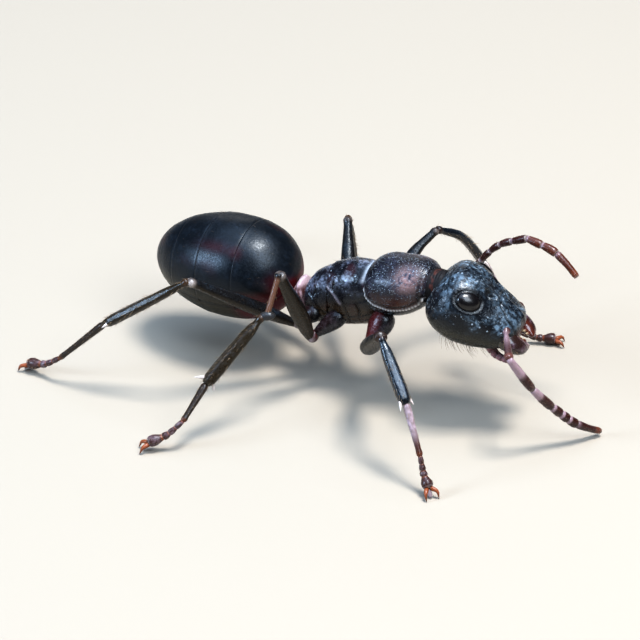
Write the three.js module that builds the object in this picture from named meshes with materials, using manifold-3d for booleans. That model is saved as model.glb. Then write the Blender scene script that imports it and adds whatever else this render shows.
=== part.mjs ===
// Carpenter ant worker, life size, walking, head low, one antenna on the ground.
// Millimetres. +X is the way the ant heads, +Y its left side, +Z up. The feet stand on z = 0.
import * as THREE from 'three';
import { mergeVertices } from 'three/addons/utils/BufferGeometryUtils.js';
import Module from 'manifold-3d';

const wasm = await Module();
wasm.setup();

// ---- driving dimensions -------------------------------------------------------------

const SEAM = 0.05;             // clear seam between two plates that meet
const ORIGIN = [-0.07, -0.13]; // middle of the stance, which becomes the origin
const LIMB_SIDES = 8;          // facets round a leg or an antenna
const SHELL_SIDES = 22;        // facets round a body plate
const ROUNDNESS = 2.15;        // superellipse power of the body plates, 2 is an ellipse

const HEAD = { place: [4.28, 0.07, 3.49], pitch: 40, yaw: 15 };
const EYE = {
  along: -0.36, side: 0.94, up: 0.7, long: 0.36, wide: 0.27, bulge: 0.17, tilt: 48, slant: -24,
};
const EYE_FACETS = [14, 7];    // round the eye and over it
const FOSSA = { along: 0.02, side: 0.37, up: 1.02, radius: 0.13, depth: 0.16 };
const SOCKET = { along: 1.065, side: 0.76, up: 0.68 };
const FOSSA_SIDES = 8;
const GASTER = {
  front: -1.46, tail: -6.08, height: 2.74, droop: 4, halfWidth: 1.56, halfHeight: 1.53,
  fullest: 0.46, bluntPower: 2.5, pointedPower: 1.75, girthPower: 2.1,
  ends: [0.006, 0.992], leastGirth: 0.05,
};
const GASTER_SPLITS = [0, 0.3, 0.56, 0.77, 0.91, 1];   // where the five tergites part
const TERGITE_RINGS = [6, 4, 4, 3, 3];
const PETIOLE = { x: -1.24, foot: 1.92, top: 3.02, halfWidth: 0.42, halfThick: 0.26 };

const FEMUR_RADIUS = 0.3;
const TIBIA_RADIUS = 0.26;
const TARSUS_RADIUS = 0.25;
const ANTENNA_RADIUS = 0.25;
const COXA_RADIUS = { fore: 0.36, mid: 0.31, hind: 0.31 };
const TROCHANTER_RADIUS = 0.26;
const SOLE = 0.21;             // height of a foot's middle line, so that its sole is pressed flat
const CAP_ANGLE = 48;          // where the round end of a limb joint takes its last ring
const WELD = 1e-5;             // points nearer than this are one point

// Joint places of each leg, from the body out: where the coxa sits in the trunk, the
// trochanter, the knee, the ankle, the bend between the long and the short tarsal joints,
// and the foot. thigh and shin are bends on the way, where a femur or a tibia is bowed.
const LEGS = {
  right_fore: {
    hip: [1.85, -0.42, 2.95], trochanter: [1.56, -1.2, 1.95], knee: [3.12, -3.1, 3.79],
    ankle: [4.41, -3.9, 2.36], instep: [5.13, -4.35, 1.08], foot: [5.64, -4.67, SOLE],
  },
  right_mid: {
    hip: [0.4, -0.4, 2.5], trochanter: [-0.35, -1.12, 1.77], knee: [-0.66, -2.4, 4.44],
    shin: [-0.63, -3.15, 3.43], ankle: [-1.65, -4.9, 1.74], instep: [-1.83, -5.9, 0.96],
    foot: [-2.82, -6.56, SOLE],
  },
  right_hind: {
    hip: [-0.45, -0.36, 2.35], trochanter: [-1.0, -0.9, 1.95], knee: [-3.19, -3.3, 3.92],
    ankle: [-5.58, -4.1, 2.21], instep: [-6.94, -4.4, 0.81], foot: [-8.27, -4.3, SOLE],
  },
  left_fore: {
    hip: [1.85, 0.42, 2.95], trochanter: [1.4, 1.1, 2.15], thigh: [1.19, 2.1, 3.29],
    knee: [1.55, 3.0, 3.92], shin: [1.98, 3.75, 3.42], ankle: [2.38, 4.4, 2.37],
    instep: [3.69, 4.34, 0.42], foot: [4.79, 4.87, SOLE],
  },
  left_mid: {
    hip: [0.4, 0.4, 2.5], trochanter: [-0.35, 1.12, 1.77], knee: [-1.4, 2.9, 3.54],
    ankle: [-2.14, 4.5, 0.94], instep: [-1.9, 5.5, 0.34], foot: [-1.0, 6.3, SOLE],
  },
  left_hind: {
    hip: [-0.45, 0.36, 2.35], trochanter: [-1.05, 0.94, 1.75], knee: [-4.65, 2.42, 2.11],
    ankle: [-6.31, 4.9, 0.95], instep: [-7.35, 5.15, 0.34], foot: [-8.3, 4.3, SOLE],
  },
};

// Antennae: the elbow between scape and funiculus, then the bends of the funiculus.
const ANTENNAE = {
  right: {
    elbow: [6.43, -1.5, 3.22], middle: [7.32, -0.5, 1.37],
    bends: [[6.96, -1.0, 2.09], [7.82, 0.12, 0.62]], tip: [8.18, 0.76, SOLE],
  },
  left: {
    elbow: [3.08, 2.25, 3.29], middle: [4.87, 2.4, 4.84],
    bends: [[3.89, 2.4, 4.31], [5.83, 2.4, 4.62]], tip: [6.46, 2.35, 4.14],
  },
};

const COLOURS = {
  shell: { color: 0x12151c, roughness: 0.38, metalness: 0.0 },
  brown: { color: 0x35201a, roughness: 0.4, metalness: 0.0 },
  eye: { color: 0x05060a, roughness: 0.12, metalness: 0.0 },
  limb: { color: 0x1d1715, roughness: 0.42, metalness: 0.0 },
  tarsus: { color: 0x6a3a33, roughness: 0.45, metalness: 0.0 },
  antenna: { color: 0x552f2e, roughness: 0.45, metalness: 0.0 },
};

// ---- shape tools --------------------------------------------------------------------

const vec = (place) => new THREE.Vector3(...place);
const radians = THREE.MathUtils.degToRad;
const ant = new THREE.Group();

// A closed skin over a row of rings, each end closed by a fan to a pole.
function skinRings(rings, startPole, endPole) {
  const sides = rings[0].length;
  const points = [startPole, ...rings.flat(), endPole];
  const last = points.length - 1;
  const faces = [];
  for (let i = 0; i < sides; i += 1) {
    const next = (i + 1) % sides;
    faces.push(0, 1 + next, 1 + i);
    for (let ring = 0; ring < rings.length - 1; ring += 1) {
      const low = 1 + ring * sides;
      const high = low + sides;
      faces.push(low + i, low + next, high + next);
      faces.push(low + i, high + next, high + i);
    }
    faces.push(last, last - sides + i, last - sides + next);
  }
  return turnOutward(points, faces);
}

// Faces are wound so that the volume they enclose is positive.
function turnOutward(points, faces) {
  let volume = 0;
  for (let i = 0; i < faces.length; i += 3) {
    const [a, b, c] = [points[faces[i]], points[faces[i + 1]], points[faces[i + 2]]];
    volume += a.dot(b.clone().cross(c));
  }
  if (volume < 0) faces.reverse();
  const geometry = new THREE.BufferGeometry();
  const places = points.flatMap((point) => point.toArray());
  geometry.setAttribute('position', new THREE.Float32BufferAttribute(places, 3));
  geometry.setIndex(faces);
  return geometry;
}

// A smooth value between the rows of a table of sections.
function between(rows, key, x) {
  let span = 0;
  while (span < rows.length - 2 && x > rows[span + 1].x) span += 1;
  const row = (i) => rows[Math.min(Math.max(i, 0), rows.length - 1)];
  const share = (x - row(span).x) / (row(span + 1).x - row(span).x);
  const slope = (i) => {
    const width = row(i + 1).x - row(i - 1).x;
    return width > 0 ? (row(i + 1)[key] - row(i - 1)[key]) / width : 0;
  };
  const width = row(span + 1).x - row(span).x;
  const [s2, s3] = [share ** 2, share ** 3];
  return (2 * s3 - 3 * s2 + 1) * row(span)[key] + (s3 - 2 * s2 + share) * width * slope(span)
    + (3 * s2 - 2 * s3) * row(span + 1)[key] + (s3 - s2) * width * slope(span + 1);
}

// One section of a plate: a superellipse of half width w and half height h about height mid.
function sectionRing(x, mid, w, h, sides = SHELL_SIDES, power = ROUNDNESS) {
  const ring = [];
  for (let i = 0; i < sides; i += 1) {
    const turn = (2 * Math.PI * i) / sides;
    const y = w * Math.sign(Math.cos(turn)) * Math.abs(Math.cos(turn)) ** (2 / power);
    const z = h * Math.sign(Math.sin(turn)) * Math.abs(Math.sin(turn)) ** (2 / power);
    ring.push(new THREE.Vector3(x, y, mid + z));
  }
  return ring;
}

// A body plate along X through a table of sections { x, mid, w, h }, grown by grow all round.
// Its rings lie closest together near its ends, which are closed flat.
function plate(rows, { rings = 9, sides = SHELL_SIDES, grow = 0 } = {}) {
  const [start, end] = [rows[0].x, rows[rows.length - 1].x];
  const centre = (start + end) / 2;
  const stretch = 1 + grow / (end - centre);
  const skin = [];
  for (let i = 0; i <= rings; i += 1) {
    const x = centre - (end - centre) * Math.cos((Math.PI * i) / rings);
    const [mid, w, h] = ['mid', 'w', 'h'].map((key) => between(rows, key, x));
    skin.push(sectionRing(centre + (x - centre) * stretch, mid, w + grow, h + grow, sides));
  }
  const pole = (ring) => {
    const sum = ring.reduce((total, point) => total.add(point), new THREE.Vector3());
    return sum.divideScalar(ring.length);
  };
  return skinRings(skin, pole(skin[0]), pole(skin[skin.length - 1]));
}

// A limb joint: a tube along a curve whose radius goes through the radii, with a round far
// end. Its facets lie flat above and below, and what would reach under the floor is pressed
// flat on it.
function limb(
  places, radii, { steps = 4, sides = LIMB_SIDES, roundEnd = true, grow = 0, floor = 0 } = {},
) {
  const points = places.map(vec);
  const curve = points.length === 2
    ? new THREE.LineCurve3(...points)
    : new THREE.CatmullRomCurve3(points);
  const radiusAt = (t) => {
    const place = t * (radii.length - 1);
    const low = Math.min(Math.floor(place), radii.length - 2);
    return THREE.MathUtils.lerp(radii[low], radii[low + 1], place - low) + grow;
  };
  const ringAt = (centre, tangent, radius) => {
    const side = new THREE.Vector3(0, 0, 1).cross(tangent).normalize();
    const top = tangent.clone().cross(side);
    const ring = [];
    for (let i = 0; i < sides; i += 1) {
      const turn = (2 * Math.PI * (i + 0.5)) / sides;
      const point = centre.clone().addScaledVector(side, radius * Math.sin(turn));
      ring.push(point.addScaledVector(top, radius * Math.cos(turn)));
    }
    return ring;
  };
  const rings = [];
  const capAngle = radians(CAP_ANGLE);
  const endTangent = curve.getTangentAt(1);
  for (let i = 0; i <= steps; i += 1) {
    const t = i / steps;
    rings.push(ringAt(curve.getPointAt(t), curve.getTangentAt(t), radiusAt(t)));
  }
  const end = points[points.length - 1];
  if (roundEnd) {
    const centre = end.clone().addScaledVector(endTangent, radiusAt(1) * Math.sin(capAngle));
    rings.push(ringAt(centre, endTangent, radiusAt(1) * Math.cos(capAngle)));
  }
  const endPole = end.clone().addScaledVector(endTangent, roundEnd ? radiusAt(1) : 0);
  for (const point of [endPole, ...rings.flat()]) point.z = Math.max(point.z, floor - grow);
  return skinRings(rings, points[0], endPole);
}

// ---- cutting ------------------------------------------------------------------------

function toSolid(geometry) {
  const bare = geometry.clone();
  bare.deleteAttribute('normal');
  bare.deleteAttribute('uv');
  const merged = mergeVertices(bare, WELD);
  const vertProperties = new Float32Array(merged.attributes.position.array);
  const triVerts = new Uint32Array(merged.index.array);
  return new wasm.Manifold(new wasm.Mesh({ numProp: 3, vertProperties, triVerts }));
}

function toGeometry(solid) {
  const { vertProperties, triVerts } = solid.getMesh();
  const geometry = new THREE.BufferGeometry();
  geometry.setAttribute('position', new THREE.Float32BufferAttribute(vertProperties, 3));
  geometry.setIndex(new THREE.Uint32BufferAttribute(triVerts, 1));
  return geometry;
}

// A shape less its neighbours, which are given already grown by the seam.
function cutBy(geometry, ...neighbours) {
  let solid = toSolid(geometry);
  for (const neighbour of neighbours) solid = solid.subtract(toSolid(neighbour));
  return toGeometry(solid);
}

function addPart(name, geometry, colour, parent = ant) {
  const mesh = new THREE.Mesh(geometry, new THREE.MeshStandardMaterial(COLOURS[colour]));
  mesh.name = name;
  parent.add(mesh);
  return mesh;
}

// ---- trunk --------------------------------------------------------------------------

// Sections from back to front: mid is the height of the middle above the floor.
const PRONOTUM = [
  { x: 1.06, mid: 3.6, w: 0.32, h: 0.34 },
  { x: 1.18, mid: 3.6, w: 0.68, h: 0.64 },
  { x: 1.52, mid: 3.63, w: 0.93, h: 0.86 },
  { x: 2.0, mid: 3.68, w: 0.97, h: 0.9 },
  { x: 2.45, mid: 3.79, w: 0.92, h: 0.86 },
  { x: 2.8, mid: 3.91, w: 0.8, h: 0.74 },
  { x: 3.0, mid: 3.98, w: 0.66, h: 0.61 },
  { x: 3.12, mid: 4.02, w: 0.5, h: 0.46 },
];
const MESOTHORAX = [
  { x: -0.1, mid: 2.9, w: 0.66, h: 0.96 },
  { x: 0.35, mid: 3.0, w: 0.74, h: 1.04 },
  { x: 0.8, mid: 3.1, w: 0.76, h: 1.02 },
  { x: 1.3, mid: 3.18, w: 0.68, h: 0.92 },
  { x: 1.75, mid: 3.05, w: 0.5, h: 0.6 },
];
const PROPODEUM = [
  { x: -1.02, mid: 2.48, w: 0.34, h: 0.42 },
  { x: -0.9, mid: 2.5, w: 0.5, h: 0.66 },
  { x: -0.6, mid: 2.62, w: 0.62, h: 0.86 },
  { x: -0.15, mid: 2.82, w: 0.68, h: 0.96 },
];

const pronotum = (grow) => plate(PRONOTUM, { rings: 9, grow });
const mesothorax = (grow) => plate(MESOTHORAX, { rings: 6, grow });
const propodeum = (grow) => plate(PROPODEUM, { rings: 5, grow });
addPart('mesothorax', cutBy(mesothorax(0), pronotum(SEAM)), 'shell');
addPart('propodeum', propodeum(0), 'shell');

// The petiole is an upright scale: its sections run up from its foot, as shares of its size.
const PETIOLE_SHARES = [
  { up: 0, wide: 0.75, thick: 1 },
  { up: 0.25, wide: 0.9, thick: 1 },
  { up: 0.75, wide: 1, thick: 0.72 },
  { up: 1, wide: 0.45, thick: 0.3 },
];
function petioleShape(grow) {
  const { x, foot, top, halfWidth, halfThick } = PETIOLE;
  const rows = PETIOLE_SHARES.map(({ up, wide, thick }) => (
    { x: (top - foot) * up, mid: 0, w: halfWidth * wide, h: halfThick * thick }
  ));
  const shape = plate(rows, { rings: 6, sides: 14, grow });
  return shape.rotateY(-Math.PI / 2).translate(x, 0, foot);
}

// ---- gaster -------------------------------------------------------------------------

// The gaster is an egg, blunt in front and pointed behind; s runs from front to tail.
function gasterGirth(s) {
  const { fullest, bluntPower, pointedPower, girthPower } = GASTER;
  const share = s < fullest ? (fullest - s) / fullest : (s - fullest) / (1 - fullest);
  const power = s < fullest ? bluntPower : pointedPower;
  return Math.max(1 - share ** power, 0) ** (1 / girthPower);
}

function gasterTergite(from, to, rings, grow) {
  const { front, tail, height, halfWidth, halfHeight, droop, ends, leastGirth } = GASTER;
  const long = front - tail;
  const skin = [];
  for (let i = 0; i <= rings; i += 1) {
    const s = from + ((to - from) * i) / rings;
    const girth = Math.max(gasterGirth(THREE.MathUtils.clamp(s, ...ends)), leastGirth);
    const [w, h] = [halfWidth * girth + grow, halfHeight * girth + grow];
    skin.push(sectionRing(-s * long, 0, w, h, SHELL_SIDES, 2));
  }
  const pole = (s) => new THREE.Vector3(-s * long, 0, 0);
  const shape = skinRings(skin, pole(from), pole(to));
  const middle = -long / 2;
  shape.translate(-middle, 0, 0).rotateY(radians(-droop)).translate(front + middle, 0, height);
  return shape;
}

const gasterWhole = gasterTergite(0, 1, 12, SEAM);
const petiole = cutBy(petioleShape(0), propodeum(SEAM), gasterWhole);
addPart('petiole', petiole, 'brown');
TERGITE_RINGS.forEach((rings, i) => {
  const half = SEAM / 2 / (GASTER.front - GASTER.tail);
  const from = GASTER_SPLITS[i] + (i > 0 ? half : 0);
  const to = GASTER_SPLITS[i + 1] - (i < TERGITE_RINGS.length - 1 ? half : 0);
  addPart(`gaster_segment_${i + 1}`, gasterTergite(from, to, rings, 0), 'shell');
});

// ---- head ---------------------------------------------------------------------------

// In the head's own frame +X runs from the nape to the mouth and +Z out of the face.
const head = new THREE.Group();
head.position.set(...HEAD.place);
head.rotation.set(0, radians(HEAD.pitch), radians(HEAD.yaw), 'ZYX');
head.updateMatrix();
ant.add(head);

const HEAD_SECTIONS = [
  { x: -1.14, mid: 0.1, w: 0.7, h: 0.52 },
  { x: -1.06, mid: 0.08, w: 0.92, h: 0.74 },
  { x: -0.85, mid: 0.05, w: 1.14, h: 0.95 },
  { x: -0.42, mid: 0.04, w: 1.27, h: 1.08 },
  { x: 0.14, mid: 0.04, w: 1.23, h: 1.0 },
  { x: 0.7, mid: 0.18, w: 1.06, h: 0.88 },
  { x: 1.2, mid: 0.35, w: 0.86, h: 0.67 },
  { x: 1.42, mid: 0.4, w: 0.68, h: 0.46 },
];
const headShape = (grow) => plate(HEAD_SECTIONS, { rings: 12, grow });

function eyeShape(side, grow) {
  const { along, up, long, wide, bulge, tilt, slant } = EYE;
  const shape = new THREE.SphereGeometry(1, ...EYE_FACETS);
  shape.scale(long + grow, bulge + grow, wide + grow);
  shape.rotateY(radians(slant)).rotateX(radians(side * tilt));
  return shape.translate(along, side * EYE.side, up);
}

function fossaShape(side) {
  const shape = new THREE.ConeGeometry(FOSSA.radius, FOSSA.depth * 2, FOSSA_SIDES);
  shape.rotateX(-Math.PI / 2);
  return shape.translate(FOSSA.along, side * FOSSA.side, FOSSA.up);
}

const headCutters = [1, -1].flatMap((side) => [eyeShape(side, SEAM), fossaShape(side)]);
addPart('head', cutBy(headShape(0), ...headCutters), 'shell', head);

// Places in the head's frame, on its left side; the right side mirrors them.
const JAW = {
  places: [[1.15, 0.5, 0.36], [1.6, 0.58, 0.46], [1.86, 0.34, 0.54]],
  radii: [0.34, 0.34, 0.3, 0.2],
};
const PALP = {
  places: [[1.0, 0.34, -0.28], [1.42, 0.42, -0.38], [1.74, 0.5, -0.2]],
  radii: [0.24, 0.25, 0.24],
};
const NECK = { places: [[2.9, 0, 3.98], [3.6, -0.05, 4.12]], radii: [0.46, 0.44] };
const NO_FLOOR = -Infinity;
const SIDES = { right: -1, left: 1 };
for (const [name, side] of Object.entries(SIDES)) {
  addPart(`eye_${name}`, toGeometry(toSolid(eyeShape(side, 0))), 'eye', head);
  const onSide = (places) => places.map(([x, y, z]) => [x, side * y, z]);
  const jaw = (grow) => limb(
    onSide(JAW.places), JAW.radii, { steps: 5, sides: 10, grow, floor: NO_FLOOR },
  );
  addPart(`mandible_${name}`, cutBy(jaw(0), headShape(SEAM)), 'brown', head);
  const palp = limb(onSide(PALP.places), PALP.radii, { floor: NO_FLOOR });
  addPart(`palp_${name}`, cutBy(palp, headShape(SEAM), jaw(SEAM)), 'antenna', head);
}

// The front of the pronotum is hollowed to take the back of the head, and the neck fills
// the gap that is left between them.
const headInPlace = headShape(SEAM).applyMatrix4(head.matrix);
addPart('pronotum', cutBy(pronotum(0), headInPlace), 'brown');
const neck = limb(NECK.places, NECK.radii, { steps: 2, sides: 14, roundEnd: false });
addPart('neck', cutBy(neck, pronotum(SEAM), headInPlace), 'brown');

// ---- limbs --------------------------------------------------------------------------

// A row of joints, each rounded at its far end and hollowed there by the joint before it.
function chain(joints, neighbours) {
  let before = neighbours;
  for (const { name, places, radii, colour, steps } of joints) {
    const shape = (grow) => limb(places, radii, { steps, grow });
    addPart(name, cutBy(shape(0), ...before), colour);
    before = [shape(SEAM)];
  }
}

for (const [name, side] of Object.entries(SIDES)) {
  const { elbow, middle, bends, tip } = ANTENNAE[name];
  const socket = new THREE.Vector3(SOCKET.along, side * SOCKET.side, SOCKET.up);
  const root = socket.applyMatrix4(head.matrix).toArray();
  const look = { radii: [ANTENNA_RADIUS, ANTENNA_RADIUS], colour: 'antenna' };
  chain([
    { name: `scape_${name}`, places: [root, elbow], ...look, steps: 2 },
    { name: `funiculus_base_${name}`, places: [elbow, bends[0], middle], ...look, steps: 4 },
    { name: `funiculus_tip_${name}`, places: [middle, bends[1], tip], ...look, steps: 4 },
  ], [headInPlace]);
}

const trunk = [pronotum(SEAM), mesothorax(SEAM), propodeum(SEAM)];
for (const [name, leg] of Object.entries(LEGS)) {
  const coxa = COXA_RADIUS[name.split('_')[1]];
  const way = (...joints) => joints.map((joint) => leg[joint]).filter(Boolean);
  chain([
    {
      name: `coxa_${name}`, places: [leg.hip, leg.trochanter],
      radii: [coxa, coxa, TROCHANTER_RADIUS], colour: 'brown', steps: 3,
    },
    {
      name: `femur_${name}`, places: way('trochanter', 'thigh', 'knee'),
      radii: [TIBIA_RADIUS, FEMUR_RADIUS, FEMUR_RADIUS, TIBIA_RADIUS], colour: 'limb', steps: 5,
    },
    {
      name: `tibia_${name}`, places: way('knee', 'shin', 'ankle'),
      radii: [TARSUS_RADIUS, TIBIA_RADIUS, TARSUS_RADIUS], colour: 'limb', steps: leg.shin ? 5 : 3,
    },
    {
      name: `tarsus_${name}`, places: [leg.ankle, leg.instep],
      radii: [TARSUS_RADIUS, TARSUS_RADIUS], colour: 'tarsus', steps: 2,
    },
    {
      name: `foot_${name}`, places: [leg.instep, leg.foot],
      radii: [TARSUS_RADIUS, TARSUS_RADIUS], colour: 'tarsus', steps: 2,
    },
  ], trunk);
}

ant.position.set(-ORIGIN[0], -ORIGIN[1], 0);

export default ant;
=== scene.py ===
# A carpenter ant worker, life size, walking with its head low and one antenna on the ground.
# Metres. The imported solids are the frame, and each piece below stands where its solid stands.
import math

import bmesh
import bpy
import numpy as np
from mathutils import Matrix, Vector, noise


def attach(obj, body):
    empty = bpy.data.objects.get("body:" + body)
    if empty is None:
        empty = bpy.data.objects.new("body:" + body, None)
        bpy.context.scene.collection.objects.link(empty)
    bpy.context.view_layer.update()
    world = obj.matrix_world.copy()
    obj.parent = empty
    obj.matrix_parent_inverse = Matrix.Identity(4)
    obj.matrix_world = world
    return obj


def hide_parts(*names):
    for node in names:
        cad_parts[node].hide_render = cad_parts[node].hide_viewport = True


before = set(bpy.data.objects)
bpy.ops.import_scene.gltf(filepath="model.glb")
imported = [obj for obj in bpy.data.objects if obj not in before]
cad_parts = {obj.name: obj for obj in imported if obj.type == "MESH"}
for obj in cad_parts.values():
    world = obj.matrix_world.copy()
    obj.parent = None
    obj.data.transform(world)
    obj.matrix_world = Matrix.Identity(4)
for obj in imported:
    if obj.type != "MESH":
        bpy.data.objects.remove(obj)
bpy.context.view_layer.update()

# ---- floor, light and camera ---------------------------------------------------------
# The ant stands on a plain cream floor under a soft box and a wide blue panel, with a blue
# window at its right, a softer box ahead and a faint one behind. The camera looks down from
# the right and the front. A tone curve keeps the blacks deep.
MM = 0.001
AZIMUTH = math.radians(30)
ELEVATION = math.radians(30)
CAMERA_AWAY = 0.2
CAMERA_LENS = 382.5
CAMERA_CLIP = (0.01, 5)
TARGET = Vector((-0.851, 0.549, 1.426)) * MM
FLOOR_HALF = 0.6
FLOOR_COLOUR = (0.385, 0.337, 0.28, 1)
FLOOR_ROUGHNESS = 0.7
SKY_COLOUR = (0.62, 0.74, 0.95, 1)
SKY_STRENGTH = 0.1
TONE_POWER = 0.8
# Place, width in metres, watts and colour of each lamp. All of them point at the ant.
LAMPS = {
    "overhead": ((0.034, 0.012, 0.16), 0.04, 0.37, (1.0, 0.98, 0.95)),
    "blue_panel": ((-0.01, 0.0, 0.16), 0.2, 0.34, (0.55, 0.74, 1.0)),
    "blue_window": ((-0.09, -0.102, 0.064), 0.045, 0.2, (0.60, 0.78, 1.0)),
    "ahead": ((0.095, -0.043, 0.122), 0.08, 0.18, (0.80, 0.90, 1.0)),
    "behind": ((-0.09, 0.14, 0.06), 0.06, 0.015, (1.0, 0.98, 0.95)),
}

toward_camera = Vector((
    math.sin(AZIMUTH) * math.cos(ELEVATION),
    -math.cos(AZIMUTH) * math.cos(ELEVATION),
    math.sin(ELEVATION),
))


def link(item):
    bpy.context.scene.collection.objects.link(item)
    return item


def add_node(tree, kind, feeds=None, **settings):
    """A node with its settings, and its inputs linked to sockets or given values."""
    item = tree.nodes.new(kind)
    for key, value in settings.items():
        setattr(item, key, value)
    for key, value in (feeds or {}).items():
        if isinstance(value, bpy.types.NodeSocket):
            tree.links.new(value, item.inputs[key])
        else:
            item.inputs[key].default_value = value
    return item


def blend_colours(tree, share, first, second):
    """The socket of first mixed into second by share."""
    mixed = add_node(tree, "ShaderNodeMix", {0: share, 6: first, 7: second}, data_type="RGBA")
    return mixed.outputs[2]


def new_material(name, **constants):
    """A material, and its shader with the given constants. An underscore is a space."""
    material = bpy.data.materials.new(name)
    material.use_nodes = True
    shader = material.node_tree.nodes["Principled BSDF"]
    for key, value in constants.items():
        shader.inputs[key.replace("_", " ")].default_value = value
    return material, shader


camera_data = bpy.data.cameras.new("camera")
camera_data.lens = CAMERA_LENS
camera_data.clip_start, camera_data.clip_end = CAMERA_CLIP
camera = link(bpy.data.objects.new("camera", camera_data))
camera.location = TARGET + toward_camera * CAMERA_AWAY
camera.rotation_euler = toward_camera.to_track_quat("Z", "Y").to_euler()
bpy.context.scene.camera = camera

for name, (place, size, power, colour) in LAMPS.items():
    data = bpy.data.lights.new(name, "AREA")
    data.size = size
    data.energy = power
    data.color = colour
    lamp = link(bpy.data.objects.new(name, data))
    lamp.location = place
    lamp.rotation_euler = (lamp.location - TARGET).to_track_quat("Z", "Y").to_euler()
view = bpy.context.scene.view_settings
view.view_transform = "Standard"
view.gamma = TONE_POWER

world = bpy.data.worlds.new("pale_room")
world.use_nodes = True
world.node_tree.nodes["Background"].inputs["Color"].default_value = SKY_COLOUR
world.node_tree.nodes["Background"].inputs["Strength"].default_value = SKY_STRENGTH
bpy.context.scene.world = world

floor_mesh = bpy.data.meshes.new("floor")
corners = [(x * FLOOR_HALF, y * FLOOR_HALF, 0) for x, y in ((-1, -1), (1, -1), (1, 1), (-1, 1))]
floor_mesh.from_pydata(corners, [], [(0, 1, 2, 3)])
floor_paint, _ = new_material("floor_paint", Base_Color=FLOOR_COLOUR, Roughness=FLOOR_ROUGHNESS)
floor_mesh.materials.append(floor_paint)
floor = link(bpy.data.objects.new("floor", floor_mesh))

# ---- head shell ----------------------------------------------------------------------
# The head is one hard capsule of black chitin. Its skin is finely netted, with two eye
# sockets, two pits between low keels, a raised shield above the mouth and a seam below.
# Sizes are in millimetres on the drawing's axes; SHIFT moves the drawing to its place.
SHIFT = np.array([0.07, 0.13, 0.0])
ROUNDNESS = 2.15
HEAD_AT = (
    Matrix.Translation((4.28, 0.07, 3.49))
    @ Matrix.Rotation(math.radians(15), 4, "Z")
    @ Matrix.Rotation(math.radians(40), 4, "Y")
)
UNTURNED = Matrix.Identity(4)
HEAD_RINGS, HEAD_SIDES = 150, 180
# Along, middle height, half width and half height of each section, from nape to mouth.
HEAD_SECTIONS = [
    (-1.14, 0.10, 0.70, 0.52),
    (-1.06, 0.08, 0.92, 0.74),
    (-0.85, 0.05, 1.14, 0.95),
    (-0.42, 0.04, 1.27, 1.08),
    (0.14, 0.04, 1.23, 1.00),
    (0.70, 0.18, 1.06, 0.88),
    (1.20, 0.35, 0.86, 0.67),
    (1.42, 0.40, 0.68, 0.46),
]
# The same for the nape's end, and for the mouth's hollow from its lip in.
NAPE_SECTIONS = [(-1.2, 0.1, 0.2, 0.14), (-1.19, 0.1, 0.45, 0.32), (-1.17, 0.1, 0.62, 0.45)]
MOUTH_SECTIONS = [
    (1.45, 0.41, 0.60, 0.37),
    (1.42, 0.42, 0.52, 0.29),
    (1.30, 0.42, 0.46, 0.24),
    (1.10, 0.42, 0.34, 0.16),
]
EYE_MIDDLE = np.array([-0.36, 0.94, 0.70])
EYE_REACH = np.array([0.36, 0.17, 0.27])
EYE_TILT = math.radians(48)
EYE_SLANT = math.radians(-24)
PIT_MIDDLE = (0.02, 0.37, 0.97)
KEEL = [(-0.50, 0.36), (-0.15, 0.27), (0.15, 0.24), (0.38, 0.30)]
FAR_OFF = 99
SHIELD_EDGE = [(0.34, 0.0), (0.34, 0.24), (0.52, 0.46), (0.85, 0.60), (1.20, 0.64), (1.40, 0.60)]


def between(rows, column, x):
    """A smooth value between the rows of a table whose first column is x."""
    table = np.array([[row[0], row[column]] for row in rows], float)
    wide = np.vstack([table[:1], table, table[-1:]])
    slope = (wide[2:, 1] - wide[:-2, 1]) / (wide[2:, 0] - wide[:-2, 0])
    span = np.clip(np.searchsorted(table[:, 0], x) - 1, 0, len(table) - 2)
    width = table[span + 1, 0] - table[span, 0]
    share = (x - table[span, 0]) / width
    start = (2 * share**3 - 3 * share**2 + 1) * table[span, 1]
    start = start + (share**3 - 2 * share**2 + share) * width * slope[span]
    end = (3 * share**2 - 2 * share**3) * table[span + 1, 1]
    return start + end + (share**3 - share**2) * width * slope[span + 1]


def angles(sides):
    """The angle at which each side of a ring stands."""
    return 2 * np.pi * np.arange(sides) / sides


def power_ring(x, middle, half_width, half_height, sides, power=ROUNDNESS):
    """Rings about the X axis, one for each value of x, as an array of rings by sides by 3."""
    turn = angles(sides)
    across = np.sign(np.cos(turn)) * np.abs(np.cos(turn)) ** (2 / power)
    upward = np.sign(np.sin(turn)) * np.abs(np.sin(turn)) ** (2 / power)
    x, middle, half_width, half_height = np.broadcast_arrays(
        *(np.atleast_1d(value) for value in (x, middle, half_width, half_height))
    )
    rings = np.empty((len(x), sides, 3))
    rings[..., 0] = x[:, None]
    rings[..., 1] = half_width[:, None] * across
    rings[..., 2] = middle[:, None] + half_height[:, None] * upward
    return rings


def section_rings(rows, count, sides, power=ROUNDNESS):
    """Rings through a table of sections, closest together at its two ends."""
    start, end = rows[0][0], rows[-1][0]
    x = (start + end) / 2 - (end - start) / 2 * np.cos(np.pi * np.arange(count + 1) / count)
    return power_ring(x, *(between(rows, column, x) for column in (1, 2, 3)), sides, power)


def outward(rings):
    """The direction out of the skin at each point of its rings."""
    around = np.roll(rings, -1, axis=1) - np.roll(rings, 1, axis=1)
    along = np.gradient(rings, axis=0)
    normal = np.cross(around, along)
    return normal / np.maximum(np.linalg.norm(normal, axis=2, keepdims=True), 1e-12)


def swollen(rings, lift):
    """Rings whose points are pushed out of the skin by the lift of each."""
    return rings + outward(rings) * lift[..., None]


def bump(value, middle, spread):
    """1 where the value is at the middle, falling smoothly to 0 a few spreads away."""
    return np.exp(-(((value - middle) / spread) ** 2))


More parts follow.
